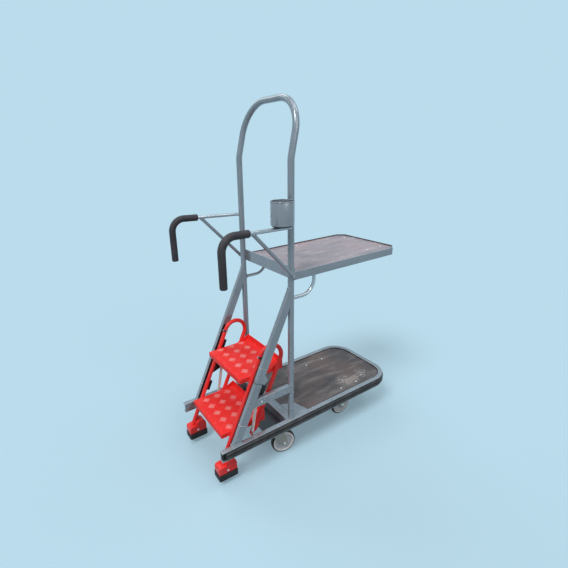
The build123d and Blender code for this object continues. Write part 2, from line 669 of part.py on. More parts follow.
# Treads: folded sheets with a front lip, side lips, and a raised back with an ear at each end
TREADS = (
    # name, top Z, X of the nosing from the rear
    ("lower", LOWER_TREAD_Z, LOWER_TREAD_NOSE_FROM_REAR),
    ("upper", UPPER_TREAD_Z, UPPER_TREAD_NOSE_FROM_REAR),
)
for tread_name, tread_z, nose in TREADS:
    nose_x = REAR_X + nose
    back_x = nose_x + TREAD_DEPTH
    with BuildPart() as tread:
        with BuildSketch(side_plane(TREAD_HALF_WIDTH)):
            with BuildLine():
                Polyline(
                    (nose_x, tread_z - TREAD_LIP),
                    (nose_x, tread_z),
                    (back_x - TREAD_EAR, tread_z),
                    (back_x, tread_z + TREAD_BACK_RISE),
                    (back_x, tread_z - TREAD_LIP),
                    close=True,
                )
            make_face()
        extrude(amount=2 * TREAD_HALF_WIDTH)
        with BuildSketch(side_plane(TREAD_HALF_WIDTH - TREAD_SHEET)):
            with BuildLine():
                Polyline(
                    (nose_x + TREAD_SHEET, tread_z - TREAD_LIP - OVERRUN),
                    (nose_x + TREAD_SHEET, tread_z - TREAD_SHEET),
                    (back_x + OVERRUN, tread_z - TREAD_SHEET),
                    (back_x + OVERRUN, tread_z - TREAD_LIP - OVERRUN),
                    close=True,
                )
            make_face()
            with BuildLine():
                Polyline(
                    (nose_x, tread_z),
                    (nose_x, tread_z + TREAD_BACK_RISE + OVERRUN),
                    (back_x - TREAD_SHEET, tread_z + TREAD_BACK_RISE + OVERRUN),
                    (back_x - TREAD_SHEET, tread_z),
                    close=True,
                )
            make_face()
        extrude(amount=2 * (TREAD_HALF_WIDTH - TREAD_SHEET), mode=Mode.SUBTRACT)
    tread.part.label = f"tread_{tread_name}"
    export_step(tread.part, f"parts/tread_{tread_name}.step")

# Collars clamped round the front legs just below their bends
collar_x, collar_z = on_slope(LEG_TOP - COLLAR_BELOW_BEND - COLLAR_WIDTH, 0)
with BuildPart() as collars:
    for side, sign in SIDES:
        collar_plane = Plane(
            origin=(collar_x, sign * LEG_Y, collar_z), z_dir=(UP_SLOPE_X, 0, UP_SLOPE_Z)
        )
        with BuildSketch(collar_plane):
            Circle(LEG_RADIUS + COLLAR_WALL)
            Circle(LEG_RADIUS, mode=Mode.SUBTRACT)
        extrude(amount=COLLAR_WIDTH)
collars.part.label = "collars"
export_step(collars.part, "parts/collars.step")

# Feet: a red shoe round each front leg's end, over a rubber pad held off the floor by the springs
pad_middle_x = REAR_X - PAD_OVERHANG + PAD_LENGTH / 2
shoe_bottom_z = PAD_LIFT + PAD_HEIGHT
with BuildPart() as pads:
    with BuildSketch(Plane.XY.offset(PAD_LIFT)):
        with Locations((pad_middle_x, LEG_Y), (pad_middle_x, -LEG_Y)):
            Rectangle(PAD_LENGTH, PAD_WIDTH)
    extrude(amount=PAD_HEIGHT)
pads.part.label = "pads"
export_step(pads.part, "parts/pads.step")

with BuildPart() as shoes:
    with BuildSketch(Plane.XY.offset(shoe_bottom_z)):
        with Locations((pad_middle_x, LEG_Y), (pad_middle_x, -LEG_Y)):
            Rectangle(SHOE_LENGTH, SHOE_WIDTH)
    extrude(amount=SHOE_HEIGHT)
    fillet(shoes.edges().filter_by(Axis.Y).group_by(Axis.Z)[-1], SHOE_ROUND)
    fillet(shoes.edges().filter_by(Axis.X).group_by(Axis.Z)[-1], SHOE_SIDE_ROUND)
    for step_side_part in step_sides.values():
        add(step_side_part, mode=Mode.SUBTRACT)
shoes.part.label = "shoes"
export_step(shoes.part, "parts/shoes.step")

# Castors: a top plate with its bearing ring, a pressed fork, an axle, a wheel and its tyre
rear_castor_y = RAIL_WIDTH / 2 - REAR_CASTOR_INSET
front_castor_y = RAIL_WIDTH / 2 - FRONT_CASTOR_INSET
CASTORS = (
    # name, X from the rear, Y, how far the axle trails, whether it swivels
    ("rear_left", REAR_CASTOR_FROM_REAR, rear_castor_y, CASTOR_TRAIL, True),
    ("rear_right", REAR_CASTOR_FROM_REAR, -rear_castor_y, CASTOR_TRAIL, True),
    ("front_left", FRONT_CASTOR_FROM_REAR, front_castor_y, 0, False),
    ("front_right", FRONT_CASTOR_FROM_REAR, -front_castor_y, 0, False),
)
crown_bottom_z = 2 * WHEEL_RADIUS + CROWN_CLEARANCE
crown_top_z = crown_bottom_z + FORK_SHEET
plate_bottom_z = RAIL_BOTTOM_Z - TOP_PLATE_THICKNESS
fork_half = FORK_GAP / 2 + FORK_SHEET

# Top plates with their bearing rings, and the swivel castors' kingpins
kingpin_head_z = crown_bottom_z - FACE_CLEARANCE - KINGPIN_HEAD_HEIGHT
with BuildPart() as castor_plates:
    for castor_name, from_rear, castor_y, trail, swivels in CASTORS:
        castor_x = REAR_X + from_rear
        ring_bottom_z = crown_top_z + (FACE_CLEARANCE if swivels else 0)
        with BuildSketch(Plane.XY.offset(plate_bottom_z)):
            with Locations((castor_x, castor_y)):
                RectangleRounded(TOP_PLATE_LENGTH, TOP_PLATE_WIDTH, TOP_PLATE_ROUND)
        extrude(amount=TOP_PLATE_THICKNESS)
        with BuildSketch(Plane.XY.offset(ring_bottom_z)):
            with Locations((castor_x, castor_y)):
                Circle(CROWN_RADIUS)
        extrude(amount=plate_bottom_z - ring_bottom_z)
        if swivels:
            with BuildSketch(Plane.XY.offset(kingpin_head_z)):
                with Locations((castor_x, castor_y)):
                    Circle(KINGPIN_RADIUS)
            extrude(amount=ring_bottom_z - kingpin_head_z)
            with BuildSketch(Plane.XY.offset(kingpin_head_z)):
                with Locations((castor_x, castor_y)):
                    RegularPolygon(KINGPIN_HEAD_RADIUS, 6)
            extrude(amount=KINGPIN_HEAD_HEIGHT)
castor_plates.part.label = "castor_plates"
export_step(castor_plates.part, "parts/castor_plates.step")


def castor_fork(castor_x, castor_y, trail, swivels):
    """Build one fork: a round crown, and two legs that taper down to the axle's eyes."""
    axle_place = (castor_x + trail, WHEEL_RADIUS)
    with BuildSketch(Plane.XY.offset(crown_bottom_z)) as crown:
        with Locations((castor_x, castor_y)):
            Circle(CROWN_RADIUS)
            if swivels:
                Circle(KINGPIN_RADIUS + RUNNING_CLEARANCE, mode=Mode.SUBTRACT)
    extrude(crown.sketch, amount=FORK_SHEET)
    for leg_sign in (1, -1):
        leg_middle_y = castor_y + leg_sign * (FORK_GAP + FORK_SHEET) / 2
        with BuildSketch(side_plane(leg_middle_y)) as leg:
            with Locations(axle_place):
                Circle(FORK_EYE_RADIUS)
            with Locations((castor_x, crown_bottom_z + FORK_SHEET / 2)):
                Rectangle(2 * sqrt(CROWN_RADIUS**2 - fork_half**2), FORK_SHEET)
            make_hull()
            with Locations(axle_place):
                Circle(AXLE_RADIUS, mode=Mode.SUBTRACT)
        extrude(leg.sketch, amount=FORK_SHEET / 2, both=True)


def parked(part, castor_x, castor_y, swivels):
    """Return the part turned about its castor's kingpin as the trolley stands, or as it is if that is fixed."""
    if not swivels:
        return part
    return part.rotate(Axis((castor_x, castor_y, 0), (0, 0, 1)), SWIVEL_TURN)


def castor_axle(axle_x, castor_y):
    """Build one axle: a bolt through the fork with a hexagon at each end."""
    with BuildSketch(side_plane(castor_y)) as shank:
        with Locations((axle_x, WHEEL_RADIUS)):
            Circle(AXLE_RADIUS)
    extrude(shank.sketch, amount=fork_half, both=True)
    for head_sign in (1, -1):
        head_y = castor_y + head_sign * (fork_half + AXLE_HEAD_HEIGHT / 2)
        with BuildSketch(side_plane(head_y)) as head:
            with Locations((axle_x, WHEEL_RADIUS)):
                RegularPolygon(AXLE_HEAD_RADIUS, 6)
        extrude(head.sketch, amount=AXLE_HEAD_HEIGHT / 2, both=True)


# Forks and axles: one node each for a swivel castor, and one for the two fixed ones together
FORK_NODES = {
    "rear_left": [row for row in CASTORS if row[0] == "rear_left"],
    "rear_right": [row for row in CASTORS if row[0] == "rear_right"],
    "front": [row for row in CASTORS if row[0].startswith("front")],
}
for fork_name, rows in FORK_NODES.items():
    with BuildPart() as fork:
        for castor_name, from_rear, castor_y, trail, swivels in rows:
            castor_fork(REAR_X + from_rear, castor_y, trail, swivels)
    fork_part = parked(fork.part, REAR_X + from_rear, castor_y, swivels)
    fork_part.label = f"fork_{fork_name}"
    export_step(fork_part, f"parts/fork_{fork_name}.step")
    with BuildPart() as axle:
        for castor_name, from_rear, castor_y, trail, swivels in rows:
            castor_axle(REAR_X + from_rear + trail, castor_y)
    axle_part = parked(axle.part, REAR_X + from_rear, castor_y, swivels)
    axle_part.label = f"axle_{fork_name}"
    export_step(axle_part, f"parts/axle_{fork_name}.step")

# Wheels: a hub, a web and a rim in one, with the tyre on the rim
tyre_inner = WHEEL_RADIUS - TYRE_DEPTH
hub_width = FORK_GAP - 2 * FACE_CLEARANCE
hub_bore = AXLE_RADIUS + RUNNING_CLEARANCE
for castor_name, from_rear, castor_y, trail, swivels in CASTORS:
    wheel_centre = (REAR_X + from_rear + trail, castor_y, WHEEL_RADIUS)
    wheel_plane = Plane(origin=wheel_centre)
    wheel_axis = Axis(wheel_centre, (0, 1, 0))
    with BuildPart() as wheel:
        with BuildSketch(wheel_plane):
            with Locations(((hub_bore + HUB_RADIUS) / 2, 0)):
                Rectangle(HUB_RADIUS - hub_bore, hub_width)
            with Locations(((HUB_RADIUS + tyre_inner) / 2, 0)):
                Rectangle(tyre_inner - HUB_RADIUS, WEB_THICKNESS)
            with Locations((tyre_inner - RIM_WALL / 2, 0)):
                Rectangle(RIM_WALL, RIM_WIDTH)
        revolve(axis=wheel_axis)
    wheel_part = parked(wheel.part, REAR_X + from_rear, castor_y, swivels)
    wheel_part.label = f"wheel_{castor_name}"
    export_step(wheel_part, f"parts/wheel_{castor_name}.step")

    with BuildPart() as tyre:
        with BuildSketch(wheel_plane):
            with BuildLine():
                Polyline(
                    (tyre_inner, TYRE_WIDTH / 2),
                    (WHEEL_RADIUS, TYRE_TREAD_WIDTH / 2),
                    (WHEEL_RADIUS, -TYRE_TREAD_WIDTH / 2),
                    (tyre_inner, -TYRE_WIDTH / 2),
                    close=True,
                )
            make_face()
        revolve(axis=wheel_axis)
    tyre_part = parked(tyre.part, REAR_X + from_rear, castor_y, swivels)
    tyre_part.label = f"tyre_{castor_name}"
    export_step(tyre_part, f"parts/tyre_{castor_name}.step")
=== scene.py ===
"""The step trolley as it looks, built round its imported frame. Metres, in the frame's own axes."""
from math import atan2, cos, degrees, pi, radians, sin, tan

import bmesh
import bpy
import numpy as np
from mathutils import Matrix, Vector


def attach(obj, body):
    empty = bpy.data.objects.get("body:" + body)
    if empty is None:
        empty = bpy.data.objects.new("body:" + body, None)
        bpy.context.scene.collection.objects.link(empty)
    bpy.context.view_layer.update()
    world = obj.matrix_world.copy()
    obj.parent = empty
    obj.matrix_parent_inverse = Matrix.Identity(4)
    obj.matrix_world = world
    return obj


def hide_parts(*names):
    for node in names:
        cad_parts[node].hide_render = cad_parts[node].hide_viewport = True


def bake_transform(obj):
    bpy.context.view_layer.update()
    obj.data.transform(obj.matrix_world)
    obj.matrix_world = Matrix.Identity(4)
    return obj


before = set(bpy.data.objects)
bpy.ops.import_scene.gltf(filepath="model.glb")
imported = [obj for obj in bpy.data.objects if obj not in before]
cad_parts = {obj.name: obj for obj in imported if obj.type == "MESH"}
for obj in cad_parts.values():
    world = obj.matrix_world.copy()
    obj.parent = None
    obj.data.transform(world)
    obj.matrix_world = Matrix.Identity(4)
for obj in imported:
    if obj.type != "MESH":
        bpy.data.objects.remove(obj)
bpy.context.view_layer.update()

# Uprights and hoop: one steel tube, bent from the left foot over the top to the right foot, powder
# coated blue-grey with a fine orange peel. Its feet stand on the rails and are welded all round.
upright_x, upright_y, upright_radius = -0.1565, 0.194, 0.014
rail_top, kink_z, hoop_top, head_inset = 0.208, 1.415, 1.641, 0.005
hoop_lean = (hoop_top - kink_z) * tan(radians(13))
weld_lift = 0.0008
sides = (("left", 1), ("right", -1))
signs = (1, -1)


def plain(name, colour, roughness, metallic=0.0, coat=0.0):
    """Start a material: its shader, its object coordinates, and the values that are the same all over."""
    material = bpy.data.materials.new(name)
    material.use_nodes = True
    nodes, links = material.node_tree.nodes, material.node_tree.links
    shader = nodes["Principled BSDF"]
    shader.inputs["Base Color"].default_value = (*colour, 1)
    shader.inputs["Roughness"].default_value = roughness
    shader.inputs["Metallic"].default_value = metallic
    shader.inputs["Coat Weight"].default_value = coat
    shader.inputs["Coat Roughness"].default_value = 0.16
    place = nodes.new("ShaderNodeTexCoord")
    return material, nodes, links, shader, place.outputs["Object"]


def mottle(nodes, links, place, scale, low, high, detail=4.0, stretch=(1, 1, 1), turn=(0, 0, 0)):
    """Noise over the object, stretched along its axes, and steepened so that low..high spans 0..1."""
    mapping = nodes.new("ShaderNodeMapping")
    mapping.inputs["Scale"].default_value = stretch
    mapping.inputs["Rotation"].default_value = [radians(a) for a in turn]
    links.new(place, mapping.inputs["Vector"])
    noise = nodes.new("ShaderNodeTexNoise")
    noise.inputs["Scale"].default_value = scale
    noise.inputs["Detail"].default_value = detail
    links.new(mapping.outputs["Vector"], noise.inputs["Vector"])
    steep = nodes.new("ShaderNodeMapRange")
    steep.inputs["From Min"].default_value = low
    steep.inputs["From Max"].default_value = high
    links.new(noise.outputs["Fac"], steep.inputs["Value"])
    return steep.outputs["Result"]


def ranged(nodes, links, share, low, high):
    """Turn a share of 0..1 into low..high."""
    span = nodes.new("ShaderNodeMapRange")
    span.inputs["To Min"].default_value = low
    span.inputs["To Max"].default_value = high
    links.new(share, span.inputs["Value"])
    return span.outputs["Result"]


def blended(nodes, links, share, first, second, most=1.0):
    """Mix two colours, or a socket and a colour, by a share of 0..1 that is brought down to 0..most."""
    mix = nodes.new("ShaderNodeMix")
    mix.data_type = "RGBA"
    links.new(share if most == 1.0 else ranged(nodes, links, share, 0, most), mix.inputs["Factor"])
    for socket, colour in ((mix.inputs[6], first), (mix.inputs[7], second)):
        if isinstance(colour, tuple):
            socket.default_value = (*colour, 1)
        else:
            links.new(colour, socket)
    return mix.outputs[2]


def roughened(nodes, links, shader, height, depth, strength=0.5):
    """Bump the surface by a height of 0..1, that deep in metres."""
    bump = nodes.new("ShaderNodeBump")
    bump.inputs["Strength"].default_value = strength
    bump.inputs["Distance"].default_value = depth
    links.new(height, bump.inputs["Height"])
    links.new(bump.outputs["Normal"], shader.inputs["Normal"])


def powder_coat(name, colour, deep, worn, roughness, metallic, coat):
    """Baked powder on steel: slight drifts of shade, faint rubbed streaks and a fine orange peel."""
    material, nodes, links, shader, place = plain(name, colour, roughness, metallic, coat)
    drift = mottle(nodes, links, place, 7, 0.3, 0.7)
    shade = blended(nodes, links, drift, deep, colour)
    rub = mottle(nodes, links, place, 26, 0.50, 0.80, 3, (1, 1, 0.25))
    links.new(blended(nodes, links, rub, shade, worn, 0.35), shader.inputs["Base Color"])
    haze = mottle(nodes, links, place, 18, 0.35, 0.75, 6)
    links.new(ranged(nodes, links, haze, roughness - 0.04, roughness + 0.06), shader.inputs["Roughness"])
    roughened(nodes, links, shader, mottle(nodes, links, place, 700, 0.2, 0.8, 2), 0.0002, 0.12)
    return material


shades = (0.305, 0.340, 0.382), (0.255, 0.287, 0.325), (0.40, 0.43, 0.47)
grey_coat = powder_coat("blue-grey powder coat", *shades, 0.26, 0.28, 0.9), "grey_coat"


def skin(points, loop=False):
    """Quads between neighbouring rows of a grid whose columns close on themselves. A face closes the
    first row and another the last, unless the rows close on themselves too."""
    rows, columns = points.shape[:2]
    index = np.arange(rows * columns).reshape(rows, columns)
    down = np.vstack([index, index[:1]]) if loop else index
    beside = np.roll(down, -1, 1)
    quads = np.stack([down[:-1], beside[:-1], beside[1:], down[1:]], -1).reshape(-1, 4)
    return points.reshape(-1, 3), quads, [] if loop else [index[0][::-1], index[-1]]


def piece(name, skins, finish, node=None, body="frame", bevel=0.0, sharp=40.0):
    """Join skins in one mesh with its faces outwards and give it the material of its finish, which is a
    material and its slot's name; the slot's name is not used. Hide the CAD node that it stands for and
    hang it on the body that it rides on."""
    start, places, faces = 0, [], []
    for points, quads, ends in skins:
        places.append(points)
        faces += (quads + start).tolist() + [(end + start).tolist() for end in ends]
        start += len(points)
    mesh = bpy.data.meshes.new(name)
    mesh.from_pydata(np.vstack(places).tolist(), [], faces)
    shell = bmesh.new()
    shell.from_mesh(mesh)
    bmesh.ops.recalc_face_normals(shell, faces=shell.faces)
    shell.to_mesh(mesh)
    shell.free()
    mesh.shade_smooth()
    mesh.set_sharp_from_angle(angle=radians(sharp))
    material, slot = finish
    mesh.materials.append(material)
    made = bpy.data.objects.new(name, mesh)
    bpy.context.scene.collection.objects.link(made)
    if bevel:
        edge = made.modifiers.new("rounded edges", "BEVEL")
        edge.width, edge.segments, edge.harden_normals = bevel, 3, True
        edge.limit_method, edge.angle_limit = "ANGLE", radians(35)
    if node:
        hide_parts(node)
    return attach(made, body) if body else made


def arc(before, corner, after, radius, turn, spare):
    """An arc in a corner: its centre lies on the bisector, radius / sin(half angle) from the corner, and
    its points are centre + radius (cos a, sin a), one for each turn in degrees and some to spare."""
    back, ahead = (v / np.linalg.norm(v) for v in (before - corner, after - corner))
    half = np.arccos(np.clip(back @ ahead, -1, 1)) / 2
    middle = corner + (back + ahead) / np.linalg.norm(back + ahead) * radius / sin(half)
    first = (corner + back * radius / tan(half) - middle) / radius
    angle = np.linspace(0, pi - 2 * half, int(degrees(pi - 2 * half) / turn) + spare)[:, None]
    return middle + radius * (np.cos(angle) * first - np.sin(angle) * back)


def bent_route(corners, radii, turn=4.0):
    """Straight runs through the corners, with an arc at each inner one."""
    corners = np.array(corners, float)
    inner = zip(corners, corners[1:], corners[2:], radii)
    return np.vstack([corners[:1], *(arc(*bend, turn, 3) for bend in inner), corners[-1:]])


def rounded(corners, radii, turn=15.0):
    """A closed outline with an arc in each corner."""
    corners = np.array(corners, float)
    radii = np.broadcast_to(radii, len(corners))
    bends = zip(np.roll(corners, 1, 0), corners, np.roll(corners, -1, 0), radii)
    return np.vstack([arc(*bend, turn, 2) for bend in bends])


def box_section(width, height, radius=0.003):
    """A rounded rectangle, width across and height up, about its middle."""
    across, up = width / 2, height / 2
    return rounded(((-across, -up), (across, -up), (across, up), (-across, up)), radius)


def carried(profile, route, up, scale=1.0, loop=False):
    """A closed profile (x, y) carried along a route: point = route + scale (x side + y rise), where rise
    is up made square to the route's heading, and side is heading x rise."""
    route, scale = np.asarray(route, float), np.broadcast_to(scale, len(route))[:, None, None]
    heading = np.roll(route, -1, 0) - np.roll(route, 1, 0) if loop else np.gradient(route, axis=0)
    heading /= np.linalg.norm(heading, axis=1, keepdims=True)
    rise = np.array(up, float) - (heading @ np.array(up, float))[:, None] * heading
    rise /= np.linalg.norm(rise, axis=1, keepdims=True)
    side = np.cross(heading, rise)
    offset = profile[None, :, :1] * side[:, None] + profile[None, :, 1:] * rise[:, None]
    return skin(route[:, None] + scale * offset, loop)


def circle(radius, steps=40):
    """Points at radius (cos a, sin a), a turn in equal steps."""
    angle = np.arange(steps) * 2 * pi / steps
    return radius * np.stack([np.cos(angle), np.sin(angle)], 1)


def bead(route, radius=0.0022, loop=False):
    """A weld: a round bead carried along its seam, its radius swelling and falling once each 4 mm."""
    route = np.asarray(route, float)
    ring = np.vstack([route, route[:1]]) if loop else route
    length = np.concatenate([[0], np.cumsum(np.linalg.norm(np.diff(ring, axis=0), axis=1))])
    steps = max(8, int(length[-1] / 0.001))
    along = np.linspace(0, length[-1], steps, endpoint=not loop)
    fine = np.stack([np.interp(along, length, ring[:, k]) for k in range(3)], 1)
    ripple = 1 + 0.16 * np.sin(2 * pi * along / 0.004) + 0.10 * np.sin(2 * pi * along / 0.0137)
    if not loop:
        from_end = np.minimum(np.arange(steps), steps - 1 - np.arange(steps))
        ripple *= np.clip(from_end / 2.5 + 0.35, 0.35, 1)
    return carried(circle(radius, 10), fine, (0.31, 0.22, 0.92), ripple, loop)


def frame_of(axis):
    """An axis, and two directions square to it and to each other."""
    axis = Vector(axis).normalized()
    first = axis.orthogonal().normalized()
    return np.array(axis), np.array(first), np.array(axis.cross(first))


def ring_at(middle, radius, axis=(0, 0, 1), steps=60):
    """A ring of points about a middle, square to an axis."""
    _, first, second = frame_of(axis)
    turn = circle(radius, steps)
    return np.array(middle, float) + turn[:, :1] * first + turn[:, 1:] * second


half_hoop = [
    (upright_x, upright_y, rail_top), (upright_x, upright_y, kink_z),
    (upright_x + hoop_lean, upright_y - head_inset, hoop_top),
]
hoop_corners = half_hoop + [(x, -y, z) for x, y, z in half_hoop[::-1]]
hoop_route = bent_route(hoop_corners, (0.120, 0.140, 0.140, 0.120), 2.5)
piece("hoop_tube", [carried(circle(upright_radius, 56), hoop_route, (1, 0, 0))], grey_coat, "uprights_hoop")
feet = [(upright_x, sign * upright_y, rail_top + weld_lift) for sign in signs]
foot_welds = [bead(ring_at(foot, upright_radius + weld_lift), 0.0026, True) for foot in feet]
piece("upright_foot_welds", foot_welds, grey_coat)

# Base rail: one rolled channel of 3 mm steel, open outwards, bent round both front corners and cut
# square at the rear. Its bends and lips are rounded, and its top flange is rubbed by loads.
rear_x, front_x, rail_half = -0.5475, 0.5515, 0.216
rail_bottom, rail_middle, rail_bend = 0.158, 0.183, 0.115


def platform_route(start_x, inset=0.0):
    """The platform's outline at that inset: along its right side, round the front and back on the left."""
    half, front = rail_half - inset, front_x - inset
    corners = ((start_x, -half, 0), (front, -half, 0), (front, half, 0), (start_x, half, 0))
    return bent_route(corners, (rail_bend - inset,) * 2, 3.0)


rail_section = rounded(
    (
        (0, 0.025), (-0.024, 0.025), (-0.024, -0.025), (0, -0.025),
        (0, -0.0212), (-0.0185, -0.0212), (-0.0185, 0.0212), (0, 0.0212),
    ),
    (0.0014, 0.0030, 0.0030, 0.0014, 0.0012, 0.0015, 0.0015, 0.0012),
)
rail_route = platform_route(rear_x) + (0, 0, rail_middle)
piece("rail_channel", [carried(rail_section, rail_route, (0, 0, 1))], grey_coat, "base_rail")

# Bumper: a black rubber strip pressed into the channel, with two soft ribs. Near-black strips in the
# groove between the ribs and in the gaps beside them are painted shade, and near-black plugs inside
# the channel's rear ends are painted shade in its hollow. The cut ends are a paler grey.
bumper_section = rounded(
    (
        (-0.0184, 0.017), (-0.0030, 0.017), (0.005, 0.0145), (0.005, 0.0040), (-0.0020, 0.0016),
        (-0.0020, -0.0016), (0.005, -0.0040), (0.005, -0.0145), (-0.0030, -0.017), (-0.0184, -0.017),
    ),
    (0.0005, 0.0020, 0.0045, 0.0035, 0.0010, 0.0010, 0.0035, 0.0045, 0.0020, 0.0005),
)


def soft_black(name, colour, dust, roughness, grain, depth):
    """Rubber, foam or plastic: a bloom of dust in drifts, and a grain of that many cells a metre."""
    material, nodes, links, shader, place = plain(name, colour, roughness)
    shader.inputs["Specular IOR Level"].default_value = 0.25
    bloom = mottle(nodes, links, place, 22, 0.42, 0.72, 6)
    links.new(blended(nodes, links, bloom, colour, dust, 0.6), shader.inputs["Base Color"])
    links.new(ranged(nodes, links, bloom, roughness - 0.06, roughness + 0.08), shader.inputs["Roughness"])
    roughened(nodes, links, shader, mottle(nodes, links, place, grain, 0.3, 0.7, 3), depth, 0.5)
    return material


shades = (0.040, 0.041, 0.044), (0.110, 0.110, 0.112)
black_rubber = soft_black("bumper rubber", *shades, 0.45, 900, 0.0002), "black_rubber"
# Near-black for the bumper's groove and gaps and inside the channel's rear ends: painted shade.
shades = (0.012, 0.012, 0.013), (0.020, 0.020, 0.021)
painted_shade_black = soft_black("near-black painted shade", *shades, 0.60, 600, 0.0001), "black_rubber"
# A paler copy of the grey coat for the channel's cut ends.
shades = (0.46, 0.51, 0.56), (0.38, 0.42, 0.47), (0.62, 0.66, 0.70)
pale_end_coat = powder_coat("paler grey coat for cut ends", *shades, 0.35, 0.3, 0.3), "grey_coat"
bumper_route = platform_route(rear_x + 0.018) + (0, 0, rail_middle)
piece("bumper_rubber", [carried(bumper_section, bumper_route, (0, 0, 1))], black_rubber, "bumper_strip")
# Near-black strips in the groove between the ribs and in the gaps beside them: painted shade.
groove_shade_skins = []
for low, high, depth in ((-0.0029, 0.0029, -0.0006), (0.0156, 0.0210, -0.0030), (-0.0210, -0.0156, -0.0030)):
    groove = np.array(((-0.0120, low), (depth, low), (depth, high), (-0.0120, high)))
    groove_shade_skins.append(carried(groove, bumper_route, (0, 0, 1)))
piece("bumper_groove_shade", groove_shade_skins, painted_shade_black)
shade_plug_section = box_section(0.0116, 0.0416, 0.0008)
end_section = np.array(
    (
        (0.0002, 0.0251), (-0.0242, 0.0251), (-0.0242, -0.0251), (0.0002, -0.0251),
        (0.0002, -0.0208), (-0.0170, -0.0208), (-0.0170, 0.0208), (0.0002, 0.0208),
    )
)
# Near-black plugs inside the channel's rear ends stand for the shade in its hollow: painted shade.
shade_plug_skins, end_skins = [], []
for sign in signs:
    run = [(rear_x + x, sign * (rail_half - 0.0125), rail_middle) for x in (0.0060, 0.0120, 0.0185)]
    shade_plug_skins.append(carried(shade_plug_section, run, (0, 0, 1)))
    run = [(rear_x + x, sign * rail_half, rail_middle) for x in (-0.0002, 0.0006, 0.0014)]
    end_skins.append(carried(end_section * (-sign, 1), run, (0, 0, 1)))
piece("channel_end_shade", shade_plug_skins, painted_shade_black)
piece("channel_ends", end_skins, pale_end_coat)

# Deck: a board of film-faced plywood let in flush between the rails, dark brown, scuffed by crates
# and dusty towards the front, sealed round its edge and held by bright pan-head screws.
deck_rear, deck_low, deck_top, deck_inset, seal_rear = -0.1415, 0.191, 0.203, 0.024, -0.054


def prism(outline, low, high, normal="z"):
    """An outline moved square to itself: in x and y from z low to high, or in x and z from y low to high."""
    outline = np.asarray(outline, float)
    points = np.zeros((2, len(outline), 3))
    points[:, :, 0] = outline[:, 0]
    points[:, :, 1 if normal == "z" else 2] = outline[:, 1]
    points[:, :, 2 if normal == "z" else 1] = np.array([[low], [high]])
    return skin(points)


def board(name, colour, deep, warm, pale, roughness, patches):
    """Film-faced plywood: clouds of three shades, pale scuffs, and patches of worn dashes. Each patch is
    (x, y, reach): the dashes fade in from that reach towards the place."""
    material, nodes, links, shader, place = plain(name, colour, roughness)
    clouds = mottle(nodes, links, place, 7, 0.34, 0.66, 5, (0.8, 1.4, 1))
    shade = blended(nodes, links, clouds, deep, colour)
    tint = mottle(nodes, links, place, 4.3, 0.46, 0.66, 4, (1, 1.2, 1), (0, 0, 70))
    shade = blended(nodes, links, tint, shade, warm, 0.75)
    scuffs = mottle(nodes, links, place, 13, 0.50, 0.74, 9, (0.6, 2.2, 1), (0, 0, 20))
    shade = blended(nodes, links, scuffs, shade, pale, 0.6)
    cross = mottle(nodes, links, place, 85, 0.60, 0.78, 8, (1.6, 0.5, 1), (0, 0, 35))
    shade = blended(nodes, links, cross, shade, pale, 0.5)
    dashes = mottle(nodes, links, place, 150, 0.50, 0.62, 3, (0.55, 1.6, 1), (0, 0, -58))
    for x, y, reach in patches:
        away = nodes.new("ShaderNodeVectorMath")
        away.operation = "DISTANCE"
        links.new(place, away.inputs[0])
        away.inputs[1].default_value = (x, y, deck_top)
        near = nodes.new("ShaderNodeMapRange")
        near.inputs["From Min"].default_value, near.inputs["From Max"].default_value = reach, 0.3 * reach
        links.new(away.outputs["Value"], near.inputs["Value"])
        share = multiplied(nodes, links, near.outputs["Result"], dashes)
        shade = blended(nodes, links, share, shade, tuple(min(1.0, 1.7 * c) for c in pale))
    links.new(shade, shader.inputs["Base Color"])
    links.new(ranged(nodes, links, scuffs, roughness, roughness + 0.2), shader.inputs["Roughness"])
    grain = mottle(nodes, links, place, 260, 0.3, 0.7, 4, (0.2, 1, 1))
    roughened(nodes, links, shader, grain, 0.0003, 0.3)
    return material


def multiplied(nodes, links, first, second, operation="MULTIPLY"):
    """Join two sockets by their product, or by another operation."""
    joined = nodes.new("ShaderNodeMath")
    joined.operation = operation
    links.new(first, joined.inputs[0])
    links.new(second, joined.inputs[1])
    return joined.outputs[0]


def turned(profile, place, axis=(0, 0, 1), steps=40, loop=False, flats=0):
    """A profile (radius, height) turned about an axis: place + h axis + r (cos a, sin a). With flats, as
    on a nut, r is divided by cos(a within one flat)."""
    profile = np.asarray(profile, float)
    along, first, second = frame_of(axis)
    angle = np.arange(steps) * 2 * pi / steps
    reach = np.ones(steps)
    if flats:
        within = (angle + pi / flats) % (2 * pi / flats) - pi / flats
        reach = 1 / np.cos(within)
    around = (np.cos(angle) * reach)[:, None] * first + (np.sin(angle) * reach)[:, None] * second
    points = np.array(place, float) + profile[:, None, 1:] * along + profile[:, None, :1] * around[None]
    return skin(points, loop)


def screw(place, axis, radius=0.0045, height=0.0024):
    """A domed screw head with a cross recess: its height falls off as r squared, less a dip where |x| or
    |y| is small."""
    along, first, second = frame_of(axis)
    angle = np.arange(48) * 2 * pi / 48
    share = np.array([1.0, 1.0, 0.92, 0.8, 0.66, 0.5, 0.36, 0.22, 0.1])[:, None]
    rise = np.array([0.0, 0.35, 0.62, 0.78, 0.88, 0.95, 0.98, 1.0, 1.0])[:, None] * height
    x, y = share * np.cos(angle) * radius, share * np.sin(angle) * radius
    slot_half = 0.17 * radius
    dip = ((np.abs(x) < slot_half) | (np.abs(y) < slot_half)) & (share < 0.6)
    rise = (rise - dip * 0.45 * height)[..., None]
    return skin(np.array(place, float) + x[..., None] * first + y[..., None] * second + rise * along)


